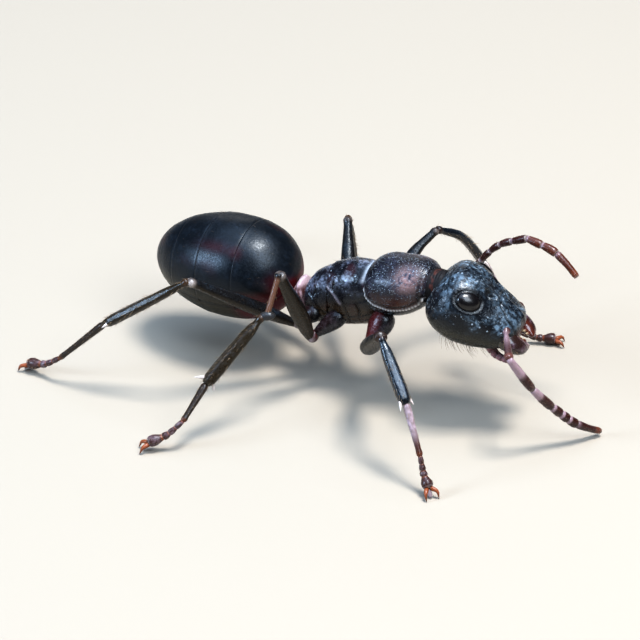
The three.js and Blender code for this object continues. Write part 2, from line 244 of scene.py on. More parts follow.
def near_line(points, line, width, axes=(0, 1, 2)):
    """1 on a line of places, falling to 0 a width away, seen along the axes left out."""
    places = points[..., list(axes)]
    nearest = np.full(places.shape[:-1], np.inf)
    for start, end in zip(line[:-1], line[1:]):
        start, step = np.array(start, float), np.subtract(end, start)
        share = np.clip((places - start) @ step / (step @ step), 0, 1)
        away = np.linalg.norm(places - start - share[..., None] * step, axis=-1)
        nearest = np.minimum(nearest, away)
    return bump(nearest, 0, width)


def unevenness(points, size, seed):
    """A smooth random value from -1 to 1 whose lumps are about size across."""
    flat = points.reshape(-1, 3) / size + seed
    return np.array([noise.noise(Vector(place)) for place in flat]).reshape(points.shape[:-1])


def ramp(value, low, high):
    """0 below low, 1 above high, and smooth between."""
    share = np.clip((value - low) / (high - low), 0, 1)
    return share * share * (3 - 2 * share)


def skin(rings, finish=0, at=UNTURNED, hair_runs=1, **marks):
    """A closed shape over rings: points, faces, unwrap, the lie of its hair and its marks."""
    count, sides = rings.shape[:2]
    poles = rings[[0, -1]].mean(axis=1)
    along = np.gradient(rings, axis=0).reshape(-1, 3) * hair_runs
    lie = np.vstack([along, along[:1], along[-1:]])
    points = np.vstack([rings.reshape(-1, 3), poles])
    ring, side = np.meshgrid(np.arange(count - 1), np.arange(sides), indexing="ij")
    low, over = ring * sides + side, ring * sides + (side + 1) % sides
    walls = np.stack([low, over, over + sides, low + sides], axis=-1).reshape(-1, 4).tolist()
    first, last, rim = count * sides, count * sides + 1, (count - 1) * sides
    walls += [(first, (i + 1) % sides, i) for i in range(sides)]
    walls += [(last, rim + i, rim + (i + 1) % sides) for i in range(sides)]
    unwrap = np.zeros((len(points), 2))
    unwrap[:first, 0] = np.tile(np.arange(sides) / sides, count)
    unwrap[:first, 1] = np.repeat(np.arange(count) / (count - 1), sides)
    unwrap[first:] = (0.5, 0), (0.5, 1)
    turn = np.array(at.to_3x3())
    kept = {}
    for mark, values in marks.items():
        flat = np.broadcast_to(values, rings.shape[:2]).reshape(-1)
        kept[mark] = np.concatenate([flat, [flat[:sides].mean(), flat[-sides:].mean()]])
    return {
        "points": (points @ turn.T + np.array(at.translation) + SHIFT) * MM,
        "faces": walls,
        "unwrap": unwrap,
        "lie": lie @ turn.T,
        "finish": finish,
        "marks": kept,
    }


# The colour of painted glints: small bright dots standing in for light caught by hair bases and pits.
GLINT_COLOUR = (0.34, 0.41, 0.48, 1)
SHINE = (0.84, 0.92, 1.0, 1)
# The colour of the dark mark: mostly painted shade in grooves, seams and hollows, and also the dark
# tips of the claws.
SHADE_AND_DARK = (0.003, 0.002, 0.002, 1)
# What a point of a skin can be marked with, as shares: five tones and two kinds of hair.
# The sheen mark is painted sheen; the pale mark is partly painted highlight and the dark mark mostly
# painted shade.
MARKS = ("under", "warm", "bloom", "pale", "dark", "hair", "long")
pieces = {}


def add_piece(name, shapes, finishes, slot, *nodes):
    """One object of several shapes, with a material for each finish number. Its slot is not used."""
    mesh = bpy.data.meshes.new(name)
    counts = np.cumsum([0] + [len(one["points"]) for one in shapes])
    faces = [tuple(int(first) + corner for corner in face)
             for one, first in zip(shapes, counts) for face in one["faces"]]
    mesh.from_pydata(np.vstack([one["points"] for one in shapes]).tolist(), [], faces)
    finish = np.concatenate([np.full(len(one["faces"]), one["finish"]) for one in shapes])
    mesh.polygons.foreach_set("material_index", finish.astype(np.int32))
    for mark in MARKS:
        layer = mesh.attributes.new(mark, "FLOAT", "POINT")
        values = [one["marks"].get(mark, np.zeros(len(one["points"]))) for one in shapes]
        layer.data.foreach_set("value", np.concatenate(values).astype(np.float32))
    lie = np.vstack([one["lie"] for one in shapes])
    lie = lie / np.maximum(np.linalg.norm(lie, axis=1, keepdims=True), 1e-12)
    layer = mesh.attributes.new("lie", "FLOAT_VECTOR", "POINT")
    layer.data.foreach_set("vector", lie.astype(np.float32).ravel())
    corner = np.zeros(len(mesh.loops), np.int32)
    mesh.loops.foreach_get("vertex_index", corner)
    tile = np.concatenate([np.full(len(one["points"]), i) for i, one in enumerate(shapes)])
    unwrap = np.vstack([one["unwrap"] for one in shapes])[corner]
    starts = np.zeros(len(mesh.polygons), np.int32)
    mesh.polygons.foreach_get("loop_start", starts)
    face_of = np.searchsorted(starts, np.arange(len(corner)), side="right") - 1
    widest = np.zeros(len(starts))
    np.maximum.at(widest, face_of, unwrap[:, 0])
    over_seam = (widest[face_of] - unwrap[:, 0]) > 0.6
    unwrap[:, 0] += over_seam
    unwrap[:, 0] = (unwrap[:, 0] + tile[corner]) / len(shapes)
    mesh.uv_layers.new(name="unwrap").data.foreach_set("uv", unwrap.astype(np.float32).ravel())
    mesh.shade_smooth()
    for material in finishes:
        mesh.materials.append(material)
    piece = link(bpy.data.objects.new(name, mesh))
    pieces[name] = piece
    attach(piece, "root")
    if nodes:
        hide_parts(*nodes)


def cuticle(name, top, under, warm, sheen_colour, rough=0.3, grain=0.06, relief=0.006, glint_share=0.0,
            glint_gap=0.1, polish=0.3, light=(0.50, 0.45, 0.42)):
    """Chitin netted with cells of grain mm, coloured by its marks, with painted sheen patches in its
    sheen colour and painted glints.
    """
    material, shader = new_material(
        name, IOR=1.42, Specular_Tint=SHINE, Coat_Weight=polish, Coat_Roughness=0.22
    )
    tree = material.node_tree
    place = add_node(tree, "ShaderNodeTexCoord").outputs["Object"]

    def mark(kind):
        return add_node(tree, "ShaderNodeAttribute", attribute_name=kind).outputs["Fac"]

    def clouds(size, detail):
        feeds = {"Vector": place, "Scale": 1 / (size * MM), "Detail": detail}
        return add_node(tree, "ShaderNodeTexNoise", feeds).outputs["Fac"]

    def cells(size):
        feeds = {"Vector": place, "Scale": 1 / (size * MM)}
        return add_node(tree, "ShaderNodeTexVoronoi", feeds).outputs

    def limits(value, low, high, new_low=0.0, new_high=1.0):
        feeds = {0: value, 1: low, 2: high, 3: new_low, 4: new_high}
        return add_node(tree, "ShaderNodeMapRange", feeds).outputs[0]

    def times(first, second):
        feeds = {0: first, 1: second}
        return add_node(tree, "ShaderNodeMath", feeds, operation="MULTIPLY").outputs[0]

    drift, middling, fine = clouds(0.5, 3), clouds(0.11, 5), clouds(0.05, 3)
    net, dots = cells(grain), cells(glint_gap)
    bloom = mark("bloom")
    colour = blend_colours(tree, mark("under"), (*top, 1), (*under, 1))
    colour = blend_colours(tree, mark("warm"), colour, (*warm, 1))
    # Painted sheen: soft patches of the sheen colour where the sheen mark is high.
    patchy = times(limits(drift, 0.42, 0.6), limits(middling, 0.42, 0.62, 0.1, 1))
    colour = blend_colours(tree, times(bloom, patchy), colour, (*sheen_colour, 1))
    # Painted glints: small bright dots of the glint colour where the sheen mark is high.
    lit = times(limits(dots["Distance"], 0.3, 0.18), limits(dots["Color"], 1 - glint_share, 1.05 - glint_share))
    colour = blend_colours(tree, times(bloom, lit), colour, GLINT_COLOUR)
    # The pale mark, in the light colour, is partly painted highlight: on the hem, rims, knees, shin
    # streaks and petiole top.
    colour = blend_colours(tree, mark("pale"), colour, (*light, 1))
    # The dark mark is mostly painted shade in grooves, seams, sutures and hollows.
    colour = blend_colours(tree, mark("dark"), colour, SHADE_AND_DARK)
    feeds = {"Height": net["Distance"], "Distance": relief * MM, "Strength": 1.0}
    netted = add_node(tree, "ShaderNodeBump", feeds).outputs["Normal"]
    feeds = {"Height": fine, "Distance": relief * MM * 1.6, "Strength": 0.8, "Normal": netted}
    lumps = add_node(tree, "ShaderNodeBump", feeds).outputs["Normal"]
    tree.links.new(colour, shader.inputs["Base Color"])
    tree.links.new(limits(fine, 0.3, 0.7, rough - 0.08, rough + 0.12), shader.inputs["Roughness"])
    tree.links.new(lumps, shader.inputs["Normal"])
    return material


BLACK = (0.002, 0.003, 0.006)
OLIVE = (0.024, 0.019, 0.007)
RUST = (0.085, 0.022, 0.012)
# The head's painted sheen colour.
STEEL = (0.17, 0.24, 0.31)
# Lines along which the head carries painted sheen, by how far the sheen spreads from them.
HEAD_SHEEN = {
    0.42: [(-0.95, 0.75, 0.66), (-0.8, 0.5, 0.95)],
    0.34: [(0.1, 1.15, 0.4), (0.5, 1.02, 0.5), (0.9, 0.8, 0.62)],
    0.3: [(0.55, 0.35, 1.1), (1.05, 0.3, 1.0)],
}
head_chitin = cuticle("head_chitin", BLACK, OLIVE, RUST, STEEL, grain=0.075, relief=0.009,
                      glint_share=0.35, glint_gap=0.12)

head_rings = section_rings(HEAD_SECTIONS, HEAD_RINGS, HEAD_SIDES)
head_out = outward(head_rings)
head_up = head_rings[..., 2] > 0
side_rings = head_rings.copy()
side_rings[..., 1] = np.abs(head_rings[..., 1])
above = np.where(head_up[..., None], side_rings, FAR_OFF)
below = np.where(head_up[..., None], FAR_OFF, side_rings)


def eye_turn(side):
    """How an eye on that side is turned from the head's own axes."""
    slant = Matrix.Rotation(EYE_SLANT, 3, "Y")
    return np.array(Matrix.Rotation(side * EYE_TILT, 3, "X") @ slant)


eye_offset = side_rings - EYE_MIDDLE
eye_plan = eye_offset @ eye_turn(1)
eye_ring = np.hypot(eye_plan[..., 0] / EYE_REACH[0], eye_plan[..., 2] / EYE_REACH[2])
eye_near = np.linalg.norm(eye_offset, axis=2) < 0.75
pit_away = np.linalg.norm((above - np.array(PIT_MIDDLE)) * (0.75, 1.25, 1), axis=2)
pit = bump(pit_away, 0, 0.13)
shield_groove = near_line(above, SHIELD_EDGE, 0.035, (0, 1))
throat_seam = near_line(below, [(-1.1, 0), (1.2, 0)], 0.03, (0, 1))
cheek_fold = near_line(side_rings, [(0.72, -0.22), (1.1, -0.05), (1.36, 0.1)], 0.04, (0, 2))
# How far each form stands out of the plain capsule, or is sunk into it.
lift = (
    -0.032 * bump(eye_ring, 1.08, 0.13) * eye_near
    + 0.003 * bump(eye_ring, 1.42, 0.16) * eye_near
    - 0.17 * pit
    + 0.035 * bump(pit_away, 0.2, 0.07)
    + 0.04 * near_line(above, KEEL, 0.05, (0, 1))
    - 0.035 * shield_groove
    + 0.02 * near_line(above, SHIELD_EDGE[2:], 0.12, (0, 1))
    + 0.03 * near_line(above, [(0.5, 0), (1.38, 0)], 0.07, (0, 1))
    - 0.03 * throat_seam
    - 0.03 * cheek_fold
    + 0.01 * unevenness(head_rings, 0.42, 3.1)
    + 0.004 * unevenness(head_rings, 0.12, 7.7)
)
head_rings = swollen(head_rings, lift)
nape_rings, mouth_rings = (
    power_ring(*np.transpose(rows), HEAD_SIDES) for rows in (NAPE_SECTIONS, MOUTH_SECTIONS)
)
head_down = (head_out @ np.array(HEAD_AT.to_3x3()).T)[..., 2]


def over_ends(values, mouth):
    """Marks of the head's own rings, carried on over the nape and down into the mouth."""
    nape = np.repeat(values[:1], len(NAPE_SECTIONS), axis=0)
    inside = np.full((len(MOUTH_SECTIONS), values.shape[1]), mouth)
    return np.concatenate([nape, values, inside])


shell_rings = np.concatenate([nape_rings, head_rings, mouth_rings])
# The ring round each eye, the pits, grooves and seams, and the mouth's hollow are darkened with
# painted shade; faces turned up carry painted sheen.
eye_rim_shade = 0.9 * ramp(eye_ring, 0.9, 1.0) * ramp(-eye_ring, -1.45, -1.2) * eye_near
groove_shade = 0.9 * pit + 0.7 * shield_groove + 0.6 * throat_seam + 0.7 * cheek_fold
bare_eye = np.clip(eye_near * ramp(1.6 - eye_ring, 0, 0.2), 0, 1)
sheen = np.zeros(head_rings.shape[:2])
for spread, line in HEAD_SHEEN.items():
    sheen = np.maximum(sheen, near_line(side_rings, line, spread))
beard_place = ramp(-head_out[..., 2], 0.2, 0.6) * ramp(head_rings[..., 0], -0.5, 0.2)
head_shell = skin(
    shell_rings, at=HEAD_AT,
    under=over_ends(ramp(-head_down, -0.05, 0.5), 0),
    dark=over_ends(np.clip(groove_shade + eye_rim_shade, 0, 1), 0.8),
    warm=over_ends(0.5 * ramp(head_rings[..., 0], 1.28, 1.42), 0.6),
    bloom=over_ends(ramp(head_down, -0.35, 0.25) * (0.3 + 0.7 * sheen) * (1 - bare_eye), 0),
    hair=over_ends(ramp(head_down, -0.1, 0.4) * (1 - bare_eye), 0),
    long=over_ends(beard_place, 0),
)
add_piece("head_shell", [head_shell], [head_chitin], "black_shell", "head")

# ---- eyes ----------------------------------------------------------------------------
# Each eye is a low glossy dome of several hundred hexagonal lenses, set in its socket.
SIDES = {"right": -1, "left": 1}
EYE_ROWS, EYE_SIDES = 40, 72
LENS = 0.03
LENS_BLACK, LENS_RUST = (0.002, 0.002, 0.004, 1), (0.005, 0.003, 0.003, 1)


def lens_glass():
    material, shader = new_material(
        "lens_glass", Roughness=0.27, IOR=1.6, Coat_Weight=0.1, Coat_Roughness=0.15
    )
    tree = material.node_tree
    place = add_node(tree, "ShaderNodeTexCoord").outputs["Object"]
    feeds = {"Vector": place, "Scale": 1 / (LENS * MM), "Randomness": 0.35}
    away = add_node(tree, "ShaderNodeTexVoronoi", feeds).outputs["Distance"]
    tone = add_node(tree, "ShaderNodeMapRange", {0: away, 1: 0.0, 2: 0.7}).outputs[0]
    colour = blend_colours(tree, tone, LENS_BLACK, LENS_RUST)
    feeds = {"Height": away, "Distance": -0.02 * LENS * MM, "Strength": 0.5}
    relief = add_node(tree, "ShaderNodeBump", feeds)
    tree.links.new(colour, shader.inputs["Base Color"])
    tree.links.new(relief.outputs["Normal"], shader.inputs["Normal"])
    return material


eye_glass = lens_glass()
eye_reach = np.pi * np.arange(1, EYE_ROWS) / EYE_ROWS
eye_ball = power_ring(-np.cos(eye_reach), 0, np.sin(eye_reach), np.sin(eye_reach), EYE_SIDES, 2)
for name, side in SIDES.items():
    dome = (eye_ball * EYE_REACH) @ eye_turn(side).T + EYE_MIDDLE * (1, side, 1)
    add_piece(f"eye_{name}_dome", [skin(dome, at=HEAD_AT)], [eye_glass], "eye", f"eye_{name}")

# ---- jaws and mouthparts -------------------------------------------------------------
# Two stout curved blades of red-brown chitin close sideways. Five teeth stand along each
# inner edge, and fine furrows run down the blade. A small lip plate hangs between them.
JAW_PATH = [(1.02, 0.48, 0.30), (1.36, 0.60, 0.40), (1.66, 0.56, 0.47), (1.92, 0.26, 0.55)]
JAW_WIDTHS = [(0, 0.26, 0.24), (0.3, 0.34, 0.30), (0.65, 0.29, 0.22), (0.9, 0.14, 0.11),
              (1, 0.05, 0.04)]
# Each tooth's place along the blade and its length.
JAW_TEETH = [(0.42, 0.15), (0.56, 0.17), (0.69, 0.16), (0.8, 0.14), (0.9, 0.12)]
JAW_STEPS, JAW_GRID = 100, (44, 40)
SPIKE_TAPER = [(0, 1), (0.5, 0.7), (1, 0.12)]


def smooth_path(places, steps):
    """Places along a smooth curve through the given ones, and the way it runs at each."""
    given = np.array(places, float)
    if len(given) == 2:
        given = np.vstack([given[0], given.mean(axis=0), given[1]])
    reach = np.concatenate([[0], np.cumsum(np.linalg.norm(np.diff(given, axis=0), axis=1))])
    reach = reach / reach[-1]
    t = np.linspace(0, 1, steps + 1)
    path = np.stack(
        [between(np.column_stack([reach, given[:, axis]]), 1, t) for axis in range(3)], axis=-1
    )
    way = np.gradient(path, axis=0)
    return path, way / np.linalg.norm(way, axis=1, keepdims=True)


def tube(places, widths, steps, sides, upward=(0, 0, 1), power=2.0):
    """Rings along a path. widths has rows of share of the path, half width, half depth."""
    path, way = smooth_path(places, steps)
    t = np.linspace(0, 1, steps + 1)
    across = np.cross(upward, way)
    across = across / np.linalg.norm(across, axis=1, keepdims=True)
    top = np.cross(way, across)
    wide, deep = between(widths, 1, t), between(widths, 2, t)
    rings = power_ring(t, 0, wide, deep, sides, power)
    return (path[:, None, :] + rings[..., 1:2] * across[:, None, :]
            + rings[..., 2:3] * top[:, None, :])


def shares(rings):
    """How far along its rings each point is, from 0 to 1."""
    count, sides = rings.shape[:2]
    return np.linspace(0, 1, count)[:, None] * np.ones(sides)


def spike(base, tip, radius, bend=(0, 0, 0), sides=8, steps=6):
    """A curved thorn from base to tip, whose middle is pushed by bend."""
    middle = (np.array(base) + np.array(tip)) / 2 + np.array(bend)
    widths = [(t, radius * share, radius * share) for t, share in SPIKE_TAPER]
    way = np.abs(np.array(tip) - np.array(base))
    upward = np.eye(3)[int(np.argmin(way))]
    return tube([base, middle, tip], widths, steps, sides, upward)


jaw_chitin = cuticle("jaw_chitin", (0.030, 0.013, 0.010), (0.040, 0.024, 0.008),
                     (0.095, 0.017, 0.008), (0.15, 0.09, 0.12), rough=0.22, grain=0.05,
                     relief=0.002, polish=1.0, light=(0.75, 0.60, 0.38))
for name, side in SIDES.items():
    jaw_path = np.array(JAW_PATH) * (1, side, 1)
    blade = tube(jaw_path, JAW_WIDTHS, *JAW_GRID)
    path, way = smooth_path(jaw_path, JAW_STEPS)
    toward_middle = np.cross((0, 0, 1), way) * -side
    blade_out = outward(blade)
    furrows = np.sin(np.arctan2(blade[..., 2] - 0.45, blade[..., 1] * side - 0.4) * 9)
    blade = swollen(blade, 0.003 * furrows)
    share = shares(blade)
    inner = ramp(-side * blade_out[..., 1], -0.1, 0.6)
    # The blade's upward faces carry a purple painted sheen.
    shapes = [skin(blade, at=HEAD_AT, warm=np.maximum(inner, ramp(share, 0.7, 1)),
                   under=ramp(-blade_out[..., 2], -0.3, 0.3), bloom=ramp(blade_out[..., 2], 0, 0.5),
                   hair=ramp(share, 0.1, 0.3))]
    for reach, long in JAW_TEETH:
        spot = int(reach * JAW_STEPS)
        wide = between(JAW_WIDTHS, 1, np.array([reach]))[0]
        base = path[spot] + toward_middle[spot] * wide * 0.7
        tip = base + toward_middle[spot] * (long + 0.05) + way[spot] * long * 0.55
        tooth = spike(base, tip, 0.075, way[spot] * 0.02)
        shapes.append(skin(tooth, at=HEAD_AT, warm=1, pale=0.75 * ramp(shares(tooth), 0.45, 1)))
    add_piece(f"jaw_{name}", shapes, [jaw_chitin], "brown_shell", f"mandible_{name}")

# The lip plate under the shield and the two folded jaws behind it, in the mouth's hollow.
LIP_PLATE = [(0, 0.34, 0.05), (0.5, 0.3, 0.06), (1, 0.2, 0.03)]
INNER_JAW = [(0, 0.2, 0.14), (0.5, 0.2, 0.16), (0.85, 0.12, 0.1), (1, 0.04, 0.04)]
LIP_GRID, INNER_GRID = (14, 24), (14, 20)
lip = tube([(1.2, 0, 0.62), (1.44, 0, 0.58), (1.58, 0, 0.46)], LIP_PLATE, *LIP_GRID)
mouth_shapes = [skin(lip, at=HEAD_AT, warm=0.7)]
for side in SIDES.values():
    folded = [(1.1, side * 0.2, 0.2), (1.42, side * 0.22, 0.2), (1.62, side * 0.12, 0.3)]
    mouth_shapes.append(skin(tube(folded, INNER_JAW, *INNER_GRID), at=HEAD_AT, warm=0.9))
add_piece("mouthparts", mouth_shapes, [jaw_chitin], "brown_shell")

# ---- palps ---------------------------------------------------------------------------
# A pair of thin jointed feelers hangs under the mouth on each side: six short joints on
# the long one and four on the short one, with pale skin between them.
palp_chitin = cuticle("palp_chitin", (0.20, 0.095, 0.11), (0.05, 0.02, 0.018),
                      (0.34, 0.17, 0.19), (0.42, 0.32, 0.37), rough=0.36)
PALP_JOINTS = [(0.8, 0.6), (1, 0.6), (1.1, 0.6), (1, 0.6), (0.9, 0.6), (0.8, 0.6)]
JOINT_STEPS = 200


def jointed(places, joints, radius_at, steps=10, sides=18, waist=0.88, sheen_share=0.6, **marks):
    """Barrel joints along a path, given by their relative lengths and the share of each in a light
    band, with painted sheen.
    """
    path, _ = smooth_path(places, JOINT_STEPS)
    lengths = [length for length, _ in joints]
    ends = np.concatenate([[0], np.cumsum(lengths)]) / np.sum(lengths)
    shapes = []
    for start, end, (_, light) in zip(ends[:-1], ends[1:], joints):
        first, last = int(start * JOINT_STEPS), int(end * JOINT_STEPS)
        spots = [path[first], path[(first + last) // 2], path[last]]
        low, high = radius_at(start), radius_at(end)
        barrel = [(0, low * waist * 0.85, low * waist * 0.85), (0.12, low * waist, low * waist),
                  (0.55, high, high), (0.9, high * 0.98, high * 0.98),
                  (1, high * 0.78, high * 0.78)]
        rings = tube(spots, barrel, steps, sides)
        share = shares(rings)
        # On the antennae, the light band at each joint's base is a painted highlight; each joint also
        # carries painted sheen.
        band = ramp(light - share, -0.05, 0.08)
        shapes.append(skin(rings, warm=0.9 * band, bloom=sheen_share * (1 - 0.65 * band),
                           pale=0.4 * ramp(share, 0.92, 0.98), hair=ramp(share, 0.1, 0.3),
                           **marks))
    return shapes


for name, side in SIDES.items():
    long_palp = [(1.0, side * 0.34, -0.26), (1.42, side * 0.46, -0.3), (1.88, side * 0.62, -0.02)]
    short_palp = [(1.05, side * 0.2, -0.22), (1.35, side * 0.2, -0.36), (1.62, side * 0.26, -0.34)]
    joints = jointed(long_palp, PALP_JOINTS, lambda t: 0.135 - 0.04 * t, waist=0.95, at=HEAD_AT)
    joints += jointed(short_palp, PALP_JOINTS[:4], lambda t: 0.09 - 0.03 * t, at=HEAD_AT)
    add_piece(f"palps_{name}", joints, [palp_chitin], "feeler", f"palp_{name}")

# ---- antennae ------------------------------------------------------------------------
# Each elbowed antenna has a long scape, set by a ball in the head, and six to eight
# long joints of red-brown chitin, with a painted highlight band at the base and dark beyond it.
SOCKET = (1.065, 0.76, 0.68)
SCAPE_GRID, FEELER_STEPS = (60, 24), 14
FEELER_THICK = 0.145
# The points of a joint's last four rings of 18, and of its two poles.
TIP_POINTS = 4 * 18 + 2
ANTENNAE = {
    "right": {
        "elbow": (6.43, -1.5, 3.22), "middle": (7.32, -0.5, 1.37), "thin": 0.125,
        "bends": ((6.96, -1.0, 2.09), (7.82, 0.12, 0.62)), "tip": (8.22, 0.82, 0.155),
        "base_joints": [(0.58, 0.56), (0.42, 0.41)], "ruddy": 0.0,
        "tip_joints": [(0.19, 0.25), (0.155, 0.3), (0.18, 0.25), (0.475, 0.12)],
    },
    "left": {
        "elbow": (3.08, 2.25, 3.29), "middle": (4.87, 2.4, 4.84), "thin": 0.085,
        "bends": ((3.89, 2.4, 4.31), (5.83, 2.4, 4.62)), "tip": (6.56, 2.35, 4.05),
        "base_joints": [(1, 0.15), (0.8, 0.15), (0.75, 0.15), (0.8, 0.15), (1, 0.15)],
        "tip_joints": [(1, 0.12), (1, 0.12), (1.8, 0.1)], "ruddy": 0.5,
    },
}
SCAPE_WIDTHS = [(0, 0.10, 0.10), (0.06, 0.15, 0.15), (0.12, 0.11, 0.11), (0.18, 0.07, 0.07),
                (0.35, 0.09, 0.08), (0.8, 0.115, 0.10), (0.94, 0.135, 0.12), (1, 0.10, 0.10)]

antenna_chitin = cuticle("antenna_chitin", (0.040, 0.009, 0.006), (0.15, 0.038, 0.015),
                         (0.37, 0.26, 0.29), (0.10, 0.05, 0.05), rough=0.3, grain=0.05)
head_turn = np.array(HEAD_AT.to_3x3())
for name, side in SIDES.items():
    antenna = ANTENNAE[name]
    socket = head_turn @ (np.array(SOCKET) * (1, side, 1)) + np.array(HEAD_AT.translation)
    inward = (socket - np.array(antenna["elbow"])) / 12
    reach = [socket + inward, (socket * 0.55 + np.array(antenna["elbow"]) * 0.45), antenna["elbow"]]
    shaft = tube(reach, SCAPE_WIDTHS, *SCAPE_GRID)
    share = shares(shaft)
    scape = skin(
        shaft, warm=(0.1 + 0.5 * bump(share, 0.32, 0.22)) * ramp(share, 0.06, 0.16),
        under=np.maximum(0.15 * ramp(0.2 - share, 0, 0.05), 0.6 * ramp(share, 0.85, 0.95)),
        hair=ramp(share, 0.15, 0.3),
    )
    add_piece(f"scape_{name}_shaft", [scape], [antenna_chitin], "feeler", f"scape_{name}")

    thin, thick = antenna["thin"], FEELER_THICK

    def funiculus_radius(t, first=0.0):
        return thin + (thick - thin) * (first + t / 2) ** 0.8

    base = jointed((antenna["elbow"], antenna["bends"][0], antenna["middle"]),
                   antenna["base_joints"], funiculus_radius, FEELER_STEPS)
    tip = jointed((antenna["middle"], antenna["bends"][1], antenna["tip"]),
                  antenna["tip_joints"], lambda t: funiculus_radius(t, 0.5) * (1 - 0.3 * t**6),
                  FEELER_STEPS, under=antenna["ruddy"])
    tip[-1]["marks"]["warm"][:] *= 0.5
    tip[-1]["marks"]["under"][-TIP_POINTS:] = 1
    for end, part, shapes in (("inner", "base", base), ("outer", "tip", tip)):
        add_piece(f"funiculus_{name}_{end}", shapes, [antenna_chitin], "feeler",
                  f"funiculus_{part}_{name}")

# ---- neck and pronotum ---------------------------------------------------------------
# The neck is a short tube of reddish skin in folds. The pronotum behind it is one egg of
# grainy chitin with a rolled hem along its lower edges, painted with a beaded pale highlight and
# a painted shadow below it, a painted rosy highlight on each side and a collar in front.
PRONOTUM = [
    (1.06, 3.60, 0.32, 0.34),
    (1.18, 3.60, 0.68, 0.64),
    (1.52, 3.63, 0.93, 0.86),
    (2.00, 3.68, 0.97, 0.90),
    (2.45, 3.79, 0.92, 0.86),
    (2.80, 3.91, 0.80, 0.74),
    (3.00, 3.98, 0.66, 0.61),
    (3.12, 4.02, 0.50, 0.46),
]
HEM = [(1.12, 3.7), (1.3, 3.47), (1.6, 3.33), (2.1, 3.27), (2.6, 3.34), (2.95, 3.55), (3.08, 3.8)]
HEM_BEADS = 75
# The middle of the painted rosy highlight on each side of the pronotum.
ROSY_HIGHLIGHT_PLACE = (2.6, 0.62, 4.25)
neck_skin = cuticle("neck_skin", (0.04, 0.010, 0.006), (0.05, 0.017, 0.009),
                    (0.16, 0.036, 0.018), (0.13, 0.05, 0.04), rough=0.6, polish=0.0)
NECK_WIDTHS = [(0, 0.52, 0.48), (0.45, 0.50, 0.47), (1, 0.43, 0.41)]
NECK_LIGHT = 0.62
NECK_GRID, EGG_GRID = (40, 48), (110, 144)
neck_path = [(2.95, 0, 3.98), (3.25, -0.02, 4.04), (3.6, -0.05, 4.12)]
neck_tube = tube(neck_path, NECK_WIDTHS, *NECK_GRID)
folds = 0.007 * np.sin(shares(neck_tube) * 50 + 2 * unevenness(neck_tube, 0.2, 3.3))
neck_tube = swollen(neck_tube, folds)
# The neck is painted dark where it runs into the pronotum and the head, as shade between the parts,
# leaving a lit strip; it is also darker in random patches.
neck_shade = 0.95 * ramp(np.abs(shares(neck_tube) - NECK_LIGHT), 0.03, 0.14)
neck_shade = neck_shade + 0.9 * ramp(unevenness(neck_tube, 0.1, 2.9), -0.1, 0.2)
neck = skin(neck_tube, warm=0.3 - 20 * folds, dark=np.clip(neck_shade, 0, 0.97))
add_piece("neck_folds", [neck], [neck_skin], "brown_shell", "neck")

# Its warm colour is the painted rosy highlight's, and its light colour the painted hem highlight's.
pronotum_chitin = cuticle("pronotum_chitin", (0.005, 0.005, 0.009), (0.075, 0.020, 0.006),
                          (0.50, 0.32, 0.31), (0.03, 0.03, 0.05), grain=0.06, relief=0.011,
                          glint_share=0.45, glint_gap=0.047, light=(1.0, 0.97, 0.94))
egg = section_rings(PRONOTUM, *EGG_GRID)
egg_out = outward(egg)
# The hem carries a beaded painted highlight, with painted shade below it and in the collar's groove.
hem_line = near_line(egg, HEM, 0.03, (0, 2)) * (egg[..., 2] < 3.8)
hem_groove = near_line(egg + (0, 0, -0.1), HEM, 0.05, (0, 2)) * (egg[..., 2] < 3.9)
hem_beads = 0.6 + 0.4 * np.sin(HEM_BEADS * egg[..., 0])
hem_height = np.interp(egg[..., 0], *np.transpose(HEM))
rosy_highlight = bump(np.linalg.norm(np.abs(egg) - ROSY_HIGHLIGHT_PLACE, axis=2), 0, 0.35)
collar = near_line(egg, [(3.05, 0.0), (3.05, 6.0)], 0.03, (0, 2))
collar_groove = near_line(egg, [(2.97, 0.0), (2.97, 6.0)], 0.03, (0, 2))
egg_lift = 0.035 * hem_line * hem_beads - 0.03 * hem_groove + 0.012 * collar - 0.012 * collar_groove
egg_lift += 0.012 * unevenness(egg, 0.5, 11.3) + 0.005 * unevenness(egg, 0.09, 5.9)
egg = swollen(egg, egg_lift)
rear_side = ramp(-egg[..., 0], -1.35, -1.08)
underside = ramp(3.92 - egg[..., 2], 0.0, 0.35) * (0.4 + 0.6 * ramp(egg[..., 0], 1.5, 2.6))
shade_below_hem = 0.7 * hem_groove + 0.95 * ramp(hem_height - egg[..., 2], 0.02, 0.06)
# The pronotum carries painted sheen everywhere but underneath.
pronotum = skin(
    egg, hair_runs=-1, under=underside, pale=0.9 * hem_line * hem_beads,
    bloom=1 - 0.8 * underside, warm=0.7 * rosy_highlight,
    dark=np.clip(shade_below_hem * (1 - hem_line) + 0.5 * collar_groove, 0, 1),
    hair=1 - 0.8 * rear_side, long=ramp(egg_out[..., 2], 0.5, 0.9),
)
add_piece("pronotum_shell", [pronotum], [pronotum_chitin], "brown_shell", "pronotum")

